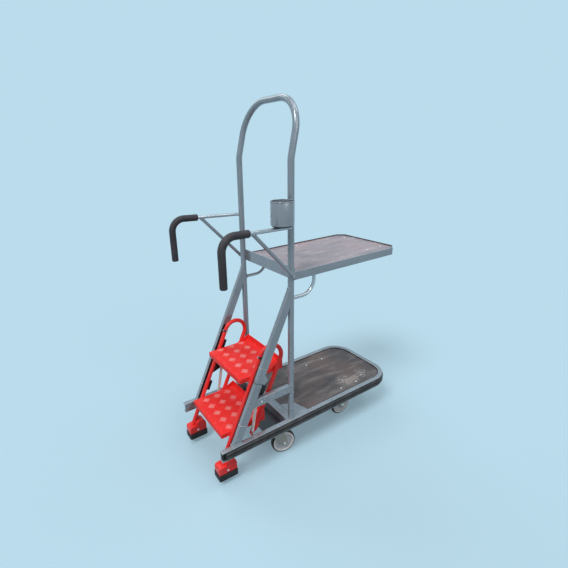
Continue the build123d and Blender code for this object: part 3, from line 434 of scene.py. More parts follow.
def bright_metal(name, colour, roughness, streak, metallic=0.9):
    """Plated or plain steel: drifts of tone, fine brushing and dull spots."""
    material, nodes, links, shader, place = plain(name, colour, roughness, metallic)
    drift = mottle(nodes, links, place, 55, 0.3, 0.7, 5)
    shade = blended(nodes, links, drift, tuple(0.72 * c for c in colour), colour)
    links.new(shade, shader.inputs["Base Color"])
    links.new(ranged(nodes, links, drift, roughness, roughness + 0.18), shader.inputs["Roughness"])
    roughened(nodes, links, shader, mottle(nodes, links, place, 500, 0.3, 0.7, 2, streak), 0.0002, 0.3)
    return material


shades = (0.138, 0.115, 0.112), (0.055, 0.045, 0.047), (0.150, 0.098, 0.086), (0.33, 0.30, 0.29)
worn_places = (0.412, -0.121, 0.055), (0.284, -0.121, 0.060), (0.345, -0.135, 0.040)
deck_ply = board("worn deck plywood", *shades, 0.45, worn_places), "deck_ply"
axle_steel = bright_metal("bright plated steel", (0.78, 0.78, 0.76), 0.26, (1, 1, 1)), "axle_steel"
deck_outline = platform_route(deck_rear, deck_inset)[:, :2]
piece("deck_board", [prism(deck_outline, deck_low, deck_top)], deck_ply, "deck_panel", bevel=0.0008)
seal_section = np.array(
    (
        (-0.0241, 0.2031), (-0.0272, 0.2031), (-0.0272, 0.2036), (-0.0250, 0.2036), (-0.0250, 0.2072),
        (-0.0241, 0.2072),
    )
)
piece("deck_seal", [carried(seal_section, platform_route(seal_rear), (0, 0, 1))], black_rubber, sharp=20)
deck_screws = ((0.2155, -0.160), (0.3275, -0.161), (0.2115, 0.124), (0.3325, 0.124))
piece("deck_screws", [screw((x, y, deck_top), (0, 0, 1)) for x, y in deck_screws], axle_steel)

# Underside members and gussets: a box bearer under the deck, the box cross bar that the uprights
# stand beside, the rear plate for the swivel castors in a darker copy of the coat as painted shade,
# and a welded plate in each of the bar's corners.
inner_y, plate_rear, plate_top = 0.192, -0.2935, 0.162
for name, node, x, z, width, height in (
    ("cross_bar_tube", "cross_bar", -0.163, 0.185, 0.043, 0.046),
    ("bearer_tube", "front_bearer", 0.2575, 0.1745, 0.110, 0.033),
):
    run = [(x, y, z) for y in (inner_y, 0, -inner_y)]
    piece(name, [carried(box_section(width, height), run, (0, 0, 1))], grey_coat, node)
# A darker copy of the grey coat for the rear plate under the deck: painted shade.
shades = (0.060, 0.074, 0.088), (0.045, 0.056, 0.067), (0.13, 0.15, 0.17)
shaded_plate_coat = powder_coat("grey coat darkened as painted shade", *shades, 0.42, 0.1, 0.2), "grey_coat"
plate_outline = box_section(deck_rear - plate_rear, 2 * inner_y, 0.004) + ((deck_rear + plate_rear) / 2, 0)
plate_sheet = prism(plate_outline, rail_bottom, plate_top)
piece("rear_plate_sheet", [plate_sheet], shaded_plate_coat, "rear_plate", bevel=0.0006)
gusset_corners = np.array(((0, 0), (0.091, 0), (0.070, 0.074), (0, 0.105)))
gusset_skins, seams = [], []
for sign in signs:
    edge = sign * inner_y
    outline = rounded(gusset_corners * (1, -sign) + (deck_rear, edge), (0.0005, 0.004, 0.010, 0.0005))
    gusset_skins.append(prism(outline, deck_top, rail_top))
    for first, last, z, radius in (
        ((-0.140, edge), (-0.052, edge), rail_top, 0.0020),
        ((-0.1845, edge), (deck_rear, edge), rail_top - 0.0006, 0.0018),
        ((deck_rear, edge), (deck_rear, edge - sign * 0.104), rail_top, 0.0018),
        ((plate_rear, edge), (-0.1860, edge), plate_top + 0.0005, 0.0018),
    ):
        seams.append(bead([(*first, z), (*last, z)], radius))
piece("gusset_plates", gusset_skins, grey_coat, "gussets", bevel=0.0010)
piece("platform_welds", seams, grey_coat)

# Handles: a bar along the outside of each upright, bent down at its rear end, and a straight brace
# from under the grip to the upright. Thin steel tube in the same coat, the bars in a paler, glossier
# copy of it whose paler colour is painted sheen.
bar_root_y, bar_root_z, bar_radius, bar_bend_radius = 0.206, 1.150, 0.008, 0.056
bar_bend_x, bar_bend_y, bar_bend_z, grip_tip = -0.5015, 0.235, 1.163, 0.968
brace_radius, brace_lift, brace_top_x, brace_foot_z = 0.008, 0.0077, -0.3635, 0.931


def bar_place(x, sign):
    """The place at x on the bar's straight run, which rises and widens evenly from root to bend."""
    share = (upright_x - x) / (upright_x - bar_bend_x)
    y, z = bar_root_y + share * (bar_bend_y - bar_root_y), bar_root_z + share * (bar_bend_z - bar_root_z)
    return x, sign * y, z


def bar_route(x, tip_z, sign, turn):
    """The bar's line from x on its straight run, round its bend and down to its lower end."""
    bend_y = sign * bar_bend_y
    corners = (bar_place(x, sign), (bar_bend_x, bend_y, bar_bend_z), (bar_bend_x, bend_y, tip_z))
    return bent_route(corners, (bar_bend_radius,), turn)


# A paler, glossier copy of the grey coat for the bars: the paler colour is painted sheen.
shades = (0.50, 0.53, 0.56), (0.44, 0.47, 0.50), (0.62, 0.65, 0.68)
sheen_bar_coat = powder_coat("grey coat paled as painted sheen", *shades, 0.18, 0.60, 0.6), "grey_coat"
for side, sign in sides:
    bar = carried(circle(bar_radius, 28), bar_route(upright_x, grip_tip + 0.005, sign, 4.0), (0, 1, 0))
    piece(f"handle_bar_{side}", [bar], sheen_bar_coat, f"handle_{side}")
brace_skins, brace_seams = [], []
for sign in signs:
    top = Vector(bar_place(brace_top_x, sign))
    foot = Vector((upright_x + 0.006, sign * (upright_y + upright_radius + brace_lift), brace_foot_z))
    brace_skins.append(carried(circle(brace_radius, 32), (top, (top + foot) / 2, foot), (1, 0, 1)))
    slant = (foot - top).normalized()
    root = Vector(bar_place(upright_x - 0.006, sign)) + Vector((0, sign * -0.0005, 0))
    for middle, radius, axis, thick in (
        (top + slant * 0.0085, 0.0084, slant, 0.0016), (foot - slant * 0.014, 0.0082, slant, 0.0014),
        (root, 0.0085, (1, 0, 0), 0.0015),
    ):
        brace_seams.append(bead(ring_at(middle, radius, axis, 40), thick, True))
piece("brace_tubes", brace_skins, grey_coat, "handle_braces")
piece("handle_welds", brace_seams, grey_coat)

# Grips: a sleeve of closed-cell black foam slid over each bar's bend, its ends rounded, a little
# uneven along its length, with drifts of dust and gloss.
grip_start_x, grip_radius, grip_edge = -0.3765, 0.0155, 0.0045
shades = (0.046, 0.043, 0.050), (0.100, 0.093, 0.106)
black_foam = soft_black("grip foam", *shades, 0.55, 420, 0.0006), "black_foam"
for side, sign in sides:
    route = bar_route(grip_start_x, grip_tip, sign, 3.0)
    length = np.concatenate([[0], np.cumsum(np.linalg.norm(np.diff(route, axis=0), axis=1))])
    total = length[-1]
    edge = grip_edge * (1 - np.cos(np.linspace(0, pi / 2, 7)))
    along = np.concatenate([edge, np.linspace(0.006, total - 0.006, 150), total - edge[::-1]])
    centre_line = np.stack([np.interp(along, length, route[:, k]) for k in range(3)], 1)
    depth = np.clip(np.minimum(along, total - along) / grip_edge, 0, 1)
    radius = grip_radius - grip_edge * (1 - np.sqrt(1 - (1 - depth) ** 2))
    radius = radius * (1 - 0.008 + 0.008 * np.sin(along * 95 + sign) * np.sin(along * 41))
    sleeve = carried(circle(1.0, 44), centre_line, (0, 1, 0), radius)
    grip = piece(f"foam_grip_{side}", [sleeve], black_foam, f"grip_{side}", sharp=60)

# Cup: a pressed steel cup on the right upright, standing on the handle bar, its rim rolled over a
# wire and its base stepped in over a black foot. Two rivets hold it to the tube.
cup_place = cup_x, cup_y, cup_low = -0.2148, -0.2152, 1.1620
rim_angle = np.linspace(pi * 1.15, -pi * 0.55, 14)
cup_rim = np.stack([0.0462 + 0.0018 * np.cos(rim_angle), 0.0982 + 0.0018 * np.sin(rim_angle)], 1)
cup_inside = (
    (0.0004, 0.0062), (0.0288, 0.0062), (0.0388, 0.0062), (0.0440, 0.0066), (0.0453, 0.0084),
    (0.0456, 0.0120), (0.0456, 0.0900), (0.0462, 0.0960),
)
cup_outside = (
    (0.0476, 0.0930), (0.0476, 0.0080), (0.0473, 0.0064), (0.0462, 0.0056), (0.0430, 0.0054),
    (0.0004, 0.0053),
)
cup_profile = np.vstack([cup_inside, cup_rim, cup_outside])
piece("cup_shell", [turned(cup_profile, cup_place, steps=96)], grey_coat, "cup", sharp=50)
cup_foot = ((0.0004, 0.0002), (0.0412, 0.0003), (0.0424, 0.0012), (0.0426, 0.0056), (0.0004, 0.0057))
piece("cup_base", [turned(cup_foot, cup_place, steps=96)], black_rubber)
toward = Vector((upright_x - cup_x, -upright_y - cup_y, 0)).normalized()
rivet_places = [Vector((cup_x, cup_y, cup_low + h)) + toward * 0.0446 for h in (0.034, 0.070)]
piece("cup_rivets", [screw(place, -toward, 0.0036, 0.0016) for place in rivet_places], axle_steel)

# Upper shelf: an angle-iron frame mitred and welded at its corners, two of them cut, with a higher
# flange at the back. A plywood board lies on its ledge, its film worn pinkish grey and still glossy.
shelf_rear, shelf_front, shelf_half, shelf_top = -0.1425, 0.5275, 0.199, 0.952
ledge_top, board_top, board_inset, cut_x, cut_y = 0.935, 0.947, 0.0042, 0.040, 0.033


def mitres(outline):
    """The move of each corner of a closed outline for a metre inwards: (n1 + n2) / (1 + n1 . n2), from
    the inward normals of the edges that meet there."""
    run = np.roll(outline, -1, 0) - outline
    run /= np.linalg.norm(run, axis=1, keepdims=True)
    inward = np.stack([-run[:, 1], run[:, 0]], 1)
    before = np.roll(inward, 1, 0)
    return (inward + before) / (1 + (inward * before).sum(1, keepdims=True))


def mitred(profile, outline):
    """A profile (inwards, z) carried round a closed outline in x and y and mitred at its corners."""
    points = np.zeros((len(outline), len(profile), 3))
    points[:, :, :2] = outline[:, None] + profile[None, :, :1] * mitres(outline)[:, None]
    points[:, :, 2] = profile[None, :, 1]
    return skin(points, True)


shelf_outline = np.array(
    (
        (shelf_rear, -shelf_half), (shelf_front - cut_x, -shelf_half), (shelf_front, cut_y - shelf_half),
        (shelf_front, shelf_half - cut_y), (shelf_front - cut_x, shelf_half), (shelf_rear, shelf_half),
    )
)
angle_section = rounded(
    (
        (0, 0.916), (0.004, 0.916), (0.004, 0.931), (0.024, 0.931), (0.024, ledge_top), (0.004, ledge_top),
        (0.004, shelf_top), (0, shelf_top),
    ),
    (0.0008, 0.0008, 0.0015, 0.0008, 0.0008, 0.0006, 0.0010, 0.0012),
)
flange_section = box_section(0.0044, 0.0550, 0.0014) + (shelf_rear + 0.002, 0.9434)
back_flange = prism(flange_section, -shelf_half - 0.0002, shelf_half + 0.0002, "y")
piece("shelf_angle", [mitred(angle_section, shelf_outline), back_flange], grey_coat, "shelf_frame", sharp=25)
shades = (0.375, 0.300, 0.330), (0.235, 0.180, 0.205), (0.40, 0.255, 0.275), (0.56, 0.49, 0.51)
shelf_ply = board("worn shelf plywood", *shades, 0.26, ()), "shelf_ply"
seal_section = np.array(
    (
        (0.0041, 0.9471), (0.0056, 0.9471), (0.0056, 0.9475), (0.0049, 0.9475), (0.0049, 0.9513),
        (0.0041, 0.9513),
    )
)
piece("shelf_seal", [mitred(seal_section, shelf_outline)], black_rubber, sharp=20)
board_outline = shelf_outline + board_inset * mitres(shelf_outline)
piece("shelf_board", [prism(board_outline, ledge_top, board_top)], shelf_ply, "shelf_panel", bevel=0.0010)
shelf_screws = [
    screw((x, y, board_top), (0, 0, 1), 0.0045, 0.0022)
    for x, y in (
        (0.1435, -0.137), (0.3755, -0.133), (0.1545, 0.158), (0.4805, -0.129), (0.4805, 0.129),
        (0.3755, 0.158),
    )
]
piece("shelf_screws", shelf_screws, axle_steel)
seams = []
for corner in shelf_outline[1:5]:
    seams.append(bead([(*(corner + 0.0002 * np.sign(-corner)), z) for z in (0.918, 0.951)], 0.0011))
for sign in signs:
    for x, y, high, radius in (
        (shelf_rear - 0.0012, upright_y - 0.0076, 0.969, 0.0030),
        (shelf_rear - 0.0005, shelf_half - 0.001, 0.968, 0.0016),
    ):
        seams.append(bead([(x, sign * y, z) for z in (0.918, high)], radius))
piece("shelf_welds", seams, grey_coat)

# Shelf brackets: a round bar bent a quarter turn from each upright up to the shelf's ledge, welded
# at both ends, in the bars' paler, glossier coat whose paler colour is painted sheen.
bracket_x, bracket_y, bracket_z, bracket_top = -0.0235, 0.189, 0.831, 0.932
bracket_radius, bracket_bend = 0.008, 0.065
bracket_skins, bracket_seams = [], []
for sign in signs:
    y = sign * bracket_y
    corners = (bracket_x, y, bracket_top), (bracket_x, y, bracket_z), (upright_x, y, bracket_z)
    route = bent_route(corners, (bracket_bend,))
    bracket_skins.append(carried(circle(bracket_radius, 28), route, (0, 1, 0)))
    for middle, axis, thick in (
        ((bracket_x, y, 0.9302), (0, 0, 1), 0.0015), ((upright_x + 0.0135, y, bracket_z), (1, 0, 0), 0.0016)
    ):
        bracket_seams.append(bead(ring_at(middle, 0.0086, axis, 40), thick, True))
piece("bracket_bars", bracket_skins, sheen_bar_coat, "shelf_brackets")
piece("bracket_welds", bracket_seams, grey_coat)

# Struts and ties: 40 x 20 box tube with rounded edges. Each strut leans from its rail to its upright
# and carries the step's guides on its inner face, and a level tie joins it to the upright.
slope = radians(64.8)
strut_foot, strut_deep, strut_half, tie_low, tie_high = -0.4875, 0.040, 0.010, 0.36, 0.40


def strut_x(z, ahead=0.0):
    """X of the strut's rear face at z, or of the line that far square ahead of it."""
    return strut_foot + ahead / sin(slope) + (z - rail_top) / tan(slope)


strut_span = strut_deep / sin(slope)
strut_high = rail_top + (upright_x - strut_foot) * tan(slope)
strut_corners = (
    (strut_foot, rail_top), (strut_foot + strut_span, rail_top),
    (upright_x, rail_top + (upright_x - strut_foot - strut_span) * tan(slope)), (upright_x, strut_high),
)
strut_inner = upright_y - strut_half
for side, sign in sides:
    middle = sign * upright_y
    tube = prism(strut_corners, middle - strut_half, middle + strut_half, "y")
    piece(f"strut_tube_{side}", [tube], grey_coat, f"strut_{side}", bevel=0.0028)
tie_corners = (
    (strut_x(tie_low, strut_deep), tie_low), (upright_x, tie_low), (upright_x, tie_high),
    (strut_x(tie_high, strut_deep), tie_high),
)
foot_xs = strut_x(rail_top) - 0.001, strut_x(rail_top, strut_deep) + 0.001
tie_skins, strut_seams = [], []
for sign in signs:
    middle = sign * upright_y
    tie_skins.append(prism(tie_corners, middle - strut_half, middle + strut_half, "y"))
    out, inn, off = middle + sign * 0.0095, middle - sign * 0.0095, middle + sign * 0.0085
    foot_z, cap_x, cap_z = rail_top + weld_lift, upright_x - 0.0135, strut_high - 0.030
    around = [(out, 0.361), (out, 0.399), (inn, 0.399), (inn, 0.361)]
    root = [(out, 0.361), (out, 0.400), (inn, 0.400), (inn, 0.361)]
    for seam, radius, loop in (
        ([(x, y, foot_z) for x, y in zip(foot_xs + foot_xs[::-1], (out, out, inn, inn))], 0.0026, True),
        ([(strut_x(z, strut_deep), y, z) for y, z in around], 0.0016, True),
        ([(upright_x - 0.0115, y, z) for y, z in root], 0.0020, True),
        ([(cap_x + 0.001, off, cap_z - 0.075), (cap_x + 0.002, off, cap_z)], 0.0016, False),
        ([(cap_x, out, cap_z), (cap_x - 0.001, middle, cap_z + 0.006), (cap_x, inn, cap_z)], 0.0022, False),
    ):
        strut_seams.append(bead(seam, radius, loop))
piece("tie_tubes", tie_skins, grey_coat, "ties", bevel=0.0024)
piece("strut_welds", strut_seams, grey_coat)

# Marks on the struts: two thin pale bands that show where the step's guides are fixed, and on the
# right tie a blank label with a pale edge and the bright head of the screw beside it.
tie_face, label_long, label_high, label_round = -0.2040, 0.056, 0.014, 0.0035
shades = (0.62, 0.64, 0.66), (0.50, 0.52, 0.54)
pale_mark = soft_black("pale mark", *shades, 0.45, 600, 0.0001), "black_plastic"


def band(z, thickness, proud):
    """A thin band round each box tube, square to the slope, standing that proud of it."""
    skins = []
    for sign in signs:
        middle = np.array((strut_x(z, strut_deep / 2), sign * upright_y, z))
        along = np.array((cos(slope), 0, sin(slope)))
        profile = box_section(2 * strut_half + 2 * proud, strut_deep + 2 * proud, 0.0028)
        route = [middle + along * share * thickness for share in (-0.5, 0, 0.5)]
        skins.append(carried(profile, route, (sin(slope), 0, -cos(slope))))
    return skins


def label(inset, proud):
    """The label's plate at that inset, standing that proud of the tie's face."""
    outline = box_section(label_long - 2 * inset, label_high - 2 * inset, label_round - inset)
    return prism(outline + (-0.2855, 0.3905), tie_face - proud, tie_face + 0.0001, "y")


piece("strut_bands", band(0.540, 0.0022, 0.0003) + band(0.291, 0.0022, 0.0003), pale_mark)
piece("label_edge", [label(0.0, 0.0002)], pale_mark)
piece("label_face", [label(0.0013, 0.0003)], grey_coat)
piece("tie_screw", [screw((-0.3285, tie_face, 0.380), (0, -1, 0), 0.0050, 0.0026)], axle_steel)

# Guides: black nylon blocks on the struts' inner faces, each with a half-round groove that the
# step's front leg slides in, a black strip behind them over most of each inner face as painted
# shade, and the plates that carry the springs' upper pins.
shades = (0.016, 0.016, 0.018), (0.036, 0.036, 0.038)
black_plastic = soft_black("black nylon", *shades, 0.42, 500, 0.0001), "black_plastic"
piece("strut_lines", band(0.476, 0.0020, 0.0003), black_plastic)
# A black strip over most of each strut's inner face: painted shade.
strip_ends = ((0.225, 0.003), (0.225, 0.037), (0.600, 0.037), (0.600, 0.003))
strip_corners = [(strut_x(z, ahead), z) for z, ahead in strip_ends]
shade_strip_skins, bracket_screws = [], []
for sign in signs:
    low, high = sorted((sign * (strut_inner + 0.0005), sign * (strut_inner - 0.0015)))
    shade_strip_skins.append(prism(strip_corners, low, high, "y"))
    for z in (0.418, 0.462):
        place = (strut_x(z, 0.052), sign * (strut_inner - 0.004), z)
        bracket_screws.append(screw(place, (0, -sign, 0), 0.0040, 0.0022))
piece("guide_shade_strips", shade_strip_skins, black_plastic, bevel=0.0005)
for node in ("guides", "spring_brackets"):
    for material_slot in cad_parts[node].material_slots:
        material_slot.material = black_plastic[0]
piece("bracket_screws", bracket_screws, axle_steel)

# Springs: a white coil on each side, hooked over the pin on the strut's plate and over the pin on the
# step's heel, which they hold up, and they stretch as the step goes down. Each is drawn as one fixed
# coil on no body.
spring_y, coil_radius, wire_radius, turns = 0.1698, 0.0058, 0.0016, 60
hook, eye = 0.018, 0.0053
top_pin, heel_pin = np.array((-0.3246, 0.42035)), np.array((-0.36735, 0.19358))
shades = (0.92, 0.91, 0.89), (0.80, 0.79, 0.77)
white_spring = soft_black("white coated spring wire", *shades, 0.32, 500, 0.0001), "white_spring"
span = np.linalg.norm(top_pin - heel_pin)
along_x, along_z = (top_pin - heel_pin) / span
for side, sign in sides:
    share = np.linspace(0, 1, turns * 14)
    distance, angle = hook + share * (span - 2 * hook), share * turns * 2 * pi
    coil = np.stack(
        [
            heel_pin[0] + along_x * distance + coil_radius * np.cos(angle) * along_z,
            sign * spring_y + coil_radius * np.sin(angle),
            heel_pin[1] + along_z * distance - coil_radius * np.cos(angle) * along_x,
        ],
        1,
    )
    eyes = []
    for pin, way in ((heel_pin, 1), (top_pin, -1)):
        turn = np.linspace(0.5 * pi, 2.1 * pi, 22)
        eye_x = pin[0] - way * along_x * eye * np.sin(turn) + along_z * eye * np.cos(turn)
        eye_z = pin[1] - way * along_z * eye * np.sin(turn) - along_x * eye * np.cos(turn)
        eyes.append(np.stack([eye_x, np.full(len(turn), sign * spring_y), eye_z], 1))
    wire = circle(wire_radius, 8)
    spring_skins = [
        carried(wire, coil, (along_x, 0.02, along_z)),
        carried(wire, np.vstack([eyes[0], coil[0]]), (0, 1, 0)),
        carried(wire, np.vstack([coil[-1], eyes[1][::-1]]), (0, 1, 0)),
    ]
    spring = piece(f"coil_spring_{side}", spring_skins, white_spring, "springs", None, sharp=70)
    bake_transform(spring)

# Step sides: a red tube on each side, up along the strut, over a half turn and down behind the
# treads to a flat heel plate with the spring's pin. Bright red powder coat on the whole step.
leg_y, leg_radius, leg_spread, leg_foot_x = 0.160, 0.010, 0.117, -0.4755
leg_low, leg_high, pin_overhang = -0.16021, 0.415, 0.0068
shades = (0.98, 0.050, 0.046), (0.93, 0.036, 0.033), (0.98, 0.13, 0.12)
red_coat = powder_coat("signal red powder coat", *shades, 0.36, 0.0, 0.0), "red_coat"
red_coat[0].node_tree.nodes["Principled BSDF"].inputs["Specular IOR Level"].default_value = 0.30


def on_slope(along, ahead):
    """X and Z of a place that far up the front leg from the rail's top level, and that far square ahead."""
    x = leg_foot_x + along * cos(slope) + ahead * sin(slope)
    return x, rail_top + along * sin(slope) - ahead * cos(slope)


bend_along = leg_high + leg_spread / 2
leg_corners = ((leg_low, 0), (bend_along, 0), (bend_along, leg_spread), (0.066, leg_spread))
heel_corners = ((0.116, leg_spread), (0.076, 0.137), (0.046, 0.127), (0.023, 0.097), (0.076, 0.097))
heel = rounded([on_slope(*corner) for corner in heel_corners], (0.004, 0.008, 0.008, 0.006, 0.003))
pin_length = spring_y + pin_overhang - leg_y
pin_profile = ((0.004, 0), (0.004, pin_length - weld_lift), (0.0034, pin_length), (0.0004, pin_length))
for side, sign in sides:
    y = sign * leg_y
    corners = [(x, y, z) for x, z in (on_slope(*corner) for corner in leg_corners)]
    route = bent_route(corners, (leg_spread / 2 * 0.9999,) * 2)
    side_skins = [
        carried(circle(leg_radius, 40), route, (0, 1, 0)), prism(heel, y - 0.0025, y + 0.0025, "y"),
        turned(pin_profile, (heel_pin[0], y, heel_pin[1]), (0, sign, 0), 24),
    ]
    piece(f"step_tube_{side}", side_skins, red_coat, f"step_side_{side}", "step_unit")

# Treads: sheets folded down at the nose and sides and up at the back, with a pattern of five-bar
# lozenges rolled into the metal. The bars' tops are paler, partly rubbed by shoes and partly painted
# sheen.
tread_half, tread_depth, sheet, lip, back_rise, ear, bend = 0.150, 0.235, 0.003, 0.022, 0.030, 0.070, 0.005
pitch_x, pitch_y, bar_pitch, bar_reach, pattern_rise = 0.0615, 0.0590, 0.006, 0.0150, 0.0011
plain_end, plain_side, fold = 0.012, 0.006, 0.0015


def bar_height(x, y, middle_x, middle_y):
    """Groups of five bars on a rectangular grid, turned 45 degrees, each on a low pillow: height is
    0.45 (1 - ((|dx| + |dy|) / 22.5 mm)^4) plus 0.55 of a parabola across each bar, fading at its ends. The
    share of paler colour, partly rubbed by shoes and partly painted sheen, is 1 - ((|dx| + |dy|) / 23 mm)^3,
    a soft diamond over each group."""
    dx = (x - middle_x + pitch_x / 2) % pitch_x - pitch_x / 2
    dy = (y - middle_y + pitch_y / 2) % pitch_y - pitch_y / 2
    along, across = (dx + dy) / 2**0.5, (dx - dy) / 2**0.5
    bar = (across + bar_pitch / 2) % bar_pitch - bar_pitch / 2
    bars = np.clip(1 - (bar / 0.0026) ** 2, 0, 1) * np.clip(1 - (along / bar_reach) ** 4, 0, 1)
    pillow = np.clip(1 - ((np.abs(dx) + np.abs(dy)) / 0.0225) ** 4, 0, 1)
    rub_and_sheen = np.clip(1 - ((np.abs(dx) + np.abs(dy)) / 0.0230) ** 3, 0, 1)
    return np.where(np.abs(across) < bar_reach, 0.55 * bars, 0.0) + 0.45 * pillow, rub_and_sheen


def worn_sheen_bars(name, base):
    """The red coat with the bars' tops paler and a little duller: the paler colour is partly rubbed
    by shoes and partly painted sheen.
    """
    material = base.copy()
    material.name = name
    nodes, links = material.node_tree.nodes, material.node_tree.links
    shader = nodes["Principled BSDF"]
    shader.inputs["Specular IOR Level"].default_value = 0.10
    rub_sheen_share = nodes.new("ShaderNodeAttribute")
    rub_sheen_share.attribute_name = "rub_sheen_share"
    under = shader.inputs["Base Color"].links[0].from_socket
    patches = mottle(nodes, links, nodes.new("ShaderNodeTexCoord").outputs["Object"], 40, 0.25, 0.6, 4)
    share = multiplied(nodes, links, rub_sheen_share.outputs["Fac"], ranged(nodes, links, patches, 0.55, 1.0))
    # Paler bar tops: partly rubbed by shoes, partly painted sheen.
    links.new(blended(nodes, links, share, under, (0.98, 0.30, 0.29)), shader.inputs["Base Color"])
    return material


tread_red = worn_sheen_bars("red tread with rubbed and sheen-paled bars", red_coat[0]), "red_coat"
quarter = np.linspace(0, pi / 2, 7)
slow, fast = bend * (1 - np.cos(quarter)), bend * np.sin(quarter)
across_y = np.linspace(-tread_half + fold, tread_half - fold, 199)
for name, top_z, nose_x, grid_x, grid_y in (
    ("lower", 0.246, -0.5145, -0.4575, -0.002), ("upper", 0.492, -0.4075, -0.3485, 0.018)
):
    back_x = nose_x + tread_depth
    inner_back = back_x - sheet
    flat_x = np.linspace(nose_x + bend, inner_back - bend, 152)[1:-1]
    top_line = np.vstack(
        [
            [(nose_x, top_z - lip)], np.stack([nose_x + slow, top_z - bend + fast], 1),
            np.stack([flat_x, np.full(len(flat_x), top_z)], 1),
            np.stack([inner_back - bend + fast, top_z + slow], 1), [(inner_back, top_z + back_rise)],
        ]
    )
    heading = np.gradient(top_line, axis=0)
    heading /= np.linalg.norm(heading, axis=1, keepdims=True)
    normal = np.stack([-heading[:, 1], heading[:, 0]], 1)
    section_x, width_y = np.meshgrid(top_line[:, 0], across_y, indexing="ij")
    rise, worn = bar_height(section_x, width_y, grid_x, grid_y)
    inside = (np.abs(top_line[:, 1] - top_z) < 1e-6)[:, None] & (np.abs(width_y) < tread_half - plain_side)
    inside &= (section_x > nose_x + plain_end) & (section_x < back_x - plain_end)
    rise, worn = np.where(inside, rise, 0.0), np.where(inside, worn, 0.0)
    points = np.zeros((len(top_line), len(across_y) + 2, 3))
    points[:, :-2, 1], points[:, -2:, 1] = width_y, across_y[[-1, 0]]
    for axis, place in ((0, 0), (2, 1)):
        points[:, :-2, axis] = top_line[:, place, None] + normal[:, place, None] * rise * pattern_rise
        points[:, -2:, axis] = (top_line[:, place] - normal[:, place] * sheet)[:, None]
    tread = piece(f"tread_sheet_{name}", [skin(points)], tread_red, f"tread_{name}", "step_unit", sharp=50)
    # Each point's share of the bars' paler colour: partly rubbed by shoes, partly painted sheen.
    values = np.zeros(points.shape[:2])
    values[:, :-2] = worn
    tread.data.attributes.new("rub_sheen_share", "FLOAT", "POINT").data.foreach_set("value", values.reshape(-1))
    side_outline = rounded(
        (
            (nose_x, top_z - lip), (nose_x, top_z - 0.0002), (back_x - ear, top_z - 0.0002),
            (back_x, top_z + back_rise), (back_x, top_z - lip),
        ),
        (0.004, 0.005, 0.004, 0.003, 0.003),
    )
    side_skins, seams = [], []
    for sign in signs:
        low, high = sorted((sign * tread_half, sign * (tread_half - sheet)))
        side_skins.append(prism(side_outline, low, high, "y"))
        for ahead, shift in ((0, -0.006), (leg_spread, 0.006)):
            crossing = (top_z - 0.011 - rail_top + ahead * cos(slope)) / sin(slope)
            ends = [on_slope(crossing + reach, ahead) for reach in (-0.016, 0.014)]
            seams.append(bead([(x + shift, sign * (tread_half + 0.0012), z) for x, z in ends], 0.0020))
    piece(f"tread_sides_{name}", side_skins, red_coat, body="step_unit", bevel=0.0009)
    piece(f"tread_welds_{name}", seams, red_coat, body="step_unit")

# Collars: a black clamp round each front leg just under its bend, drawn tight by a bright screw
# through its two lugs. They stop the step against the guides.
collar_along, collar_high, head_reach = 0.402, 0.009, 0.0119
collar_skins, collar_screws = [], []
up_leg, rearward = np.array((cos(slope), 0, sin(slope))), np.array((-sin(slope), 0, cos(slope)))
collar_profile = rounded(((0.0101, 0), (0.0120, 0), (0.0120, collar_high), (0.0101, collar_high)), 0.0007)
for sign in signs:
    x, z = on_slope(collar_along, 0)
    base = np.array((x, sign * leg_y, z))
    collar_skins.append(turned(collar_profile, base, up_leg, 48, True))
    for way in (np.array((0, -sign, 0)), rearward):
        collar_screws.append(screw(base + up_leg * collar_high / 2 + way * head_reach, way, 0.0032, 0.0018))
piece("collar_bands", collar_skins, black_plastic, "collars", "step_unit")
piece("collar_screws", collar_screws, axle_steel, body="step_unit")

# Feet: a moulded black rubber pad with a ribbed sole under each front leg, held by a red shoe that
# is folded round the leg's end and bolted through. They hang just off the floor until weight comes on.
pad_x, pad_length, pad_width, pad_low = -0.5080, 0.097, 0.060, 0.026
pad_rows = (
    (0.0030, 0.0000), (0.0006, 0.0014), (0.0000, 0.0045), (0.0000, 0.0100), (0.0011, 0.0112),
    (0.0011, 0.0130), (0.0000, 0.0142), (0.0000, 0.0200), (0.0011, 0.0212), (0.0011, 0.0230),
    (0.0000, 0.0242), (0.0000, 0.0290), (0.0012, 0.0316), (0.0035, 0.0320),
)
shades = (0.016, 0.017, 0.019), (0.045, 0.046, 0.048)
pad_rubber = soft_black("pad rubber", *shades, 0.50, 900, 0.0002), "black_rubber"
pad_skins = []
for sign in signs:
    levels = []
    for inset, rise in pad_rows:
        outline = box_section(pad_length - 2 * inset, pad_width - 2 * inset, 0.007 - inset * 0.6)
        outline = outline + (pad_x, sign * leg_y)
        levels.append(np.column_stack([outline, np.full(len(outline), pad_low + rise)]))
    pad_skins.append(skin(np.array(levels)))
piece("rubber_pads", pad_skins, pad_rubber, "pads", "step_unit", sharp=55)
shoe_rear, bolt_x, bolt_z = pad_x - 0.046, -0.5105, 0.074
shoe_lobes = []
for start, end, low, high, back_round, front_round in (
    (0, 0.041, 0.058, (0.097, 0.099), 0.012, 0.012), (0.038, 0.092, 0.0582, (0.120, 0.120), 0.016, 0.027)
):
    corners = ((start, low), (start, high[0]), (end, high[1]), (end, low))
    corners = [(shoe_rear + x, z) for x, z in corners]
    shoe_lobes.append(rounded(corners, (0.002, back_round, front_round, 0.002), 12))
bolt_head = ((0.0058, 0), (0.0058, 0.003), (0.0044, 0.0044), (0.0004, 0.0048))
rear_head = ((0.0040, 0), (0.0040, 0.001), (0.0030, 0.0014), (0.0004, 0.0016))
shoe_skins, shoe_bolts = [], []
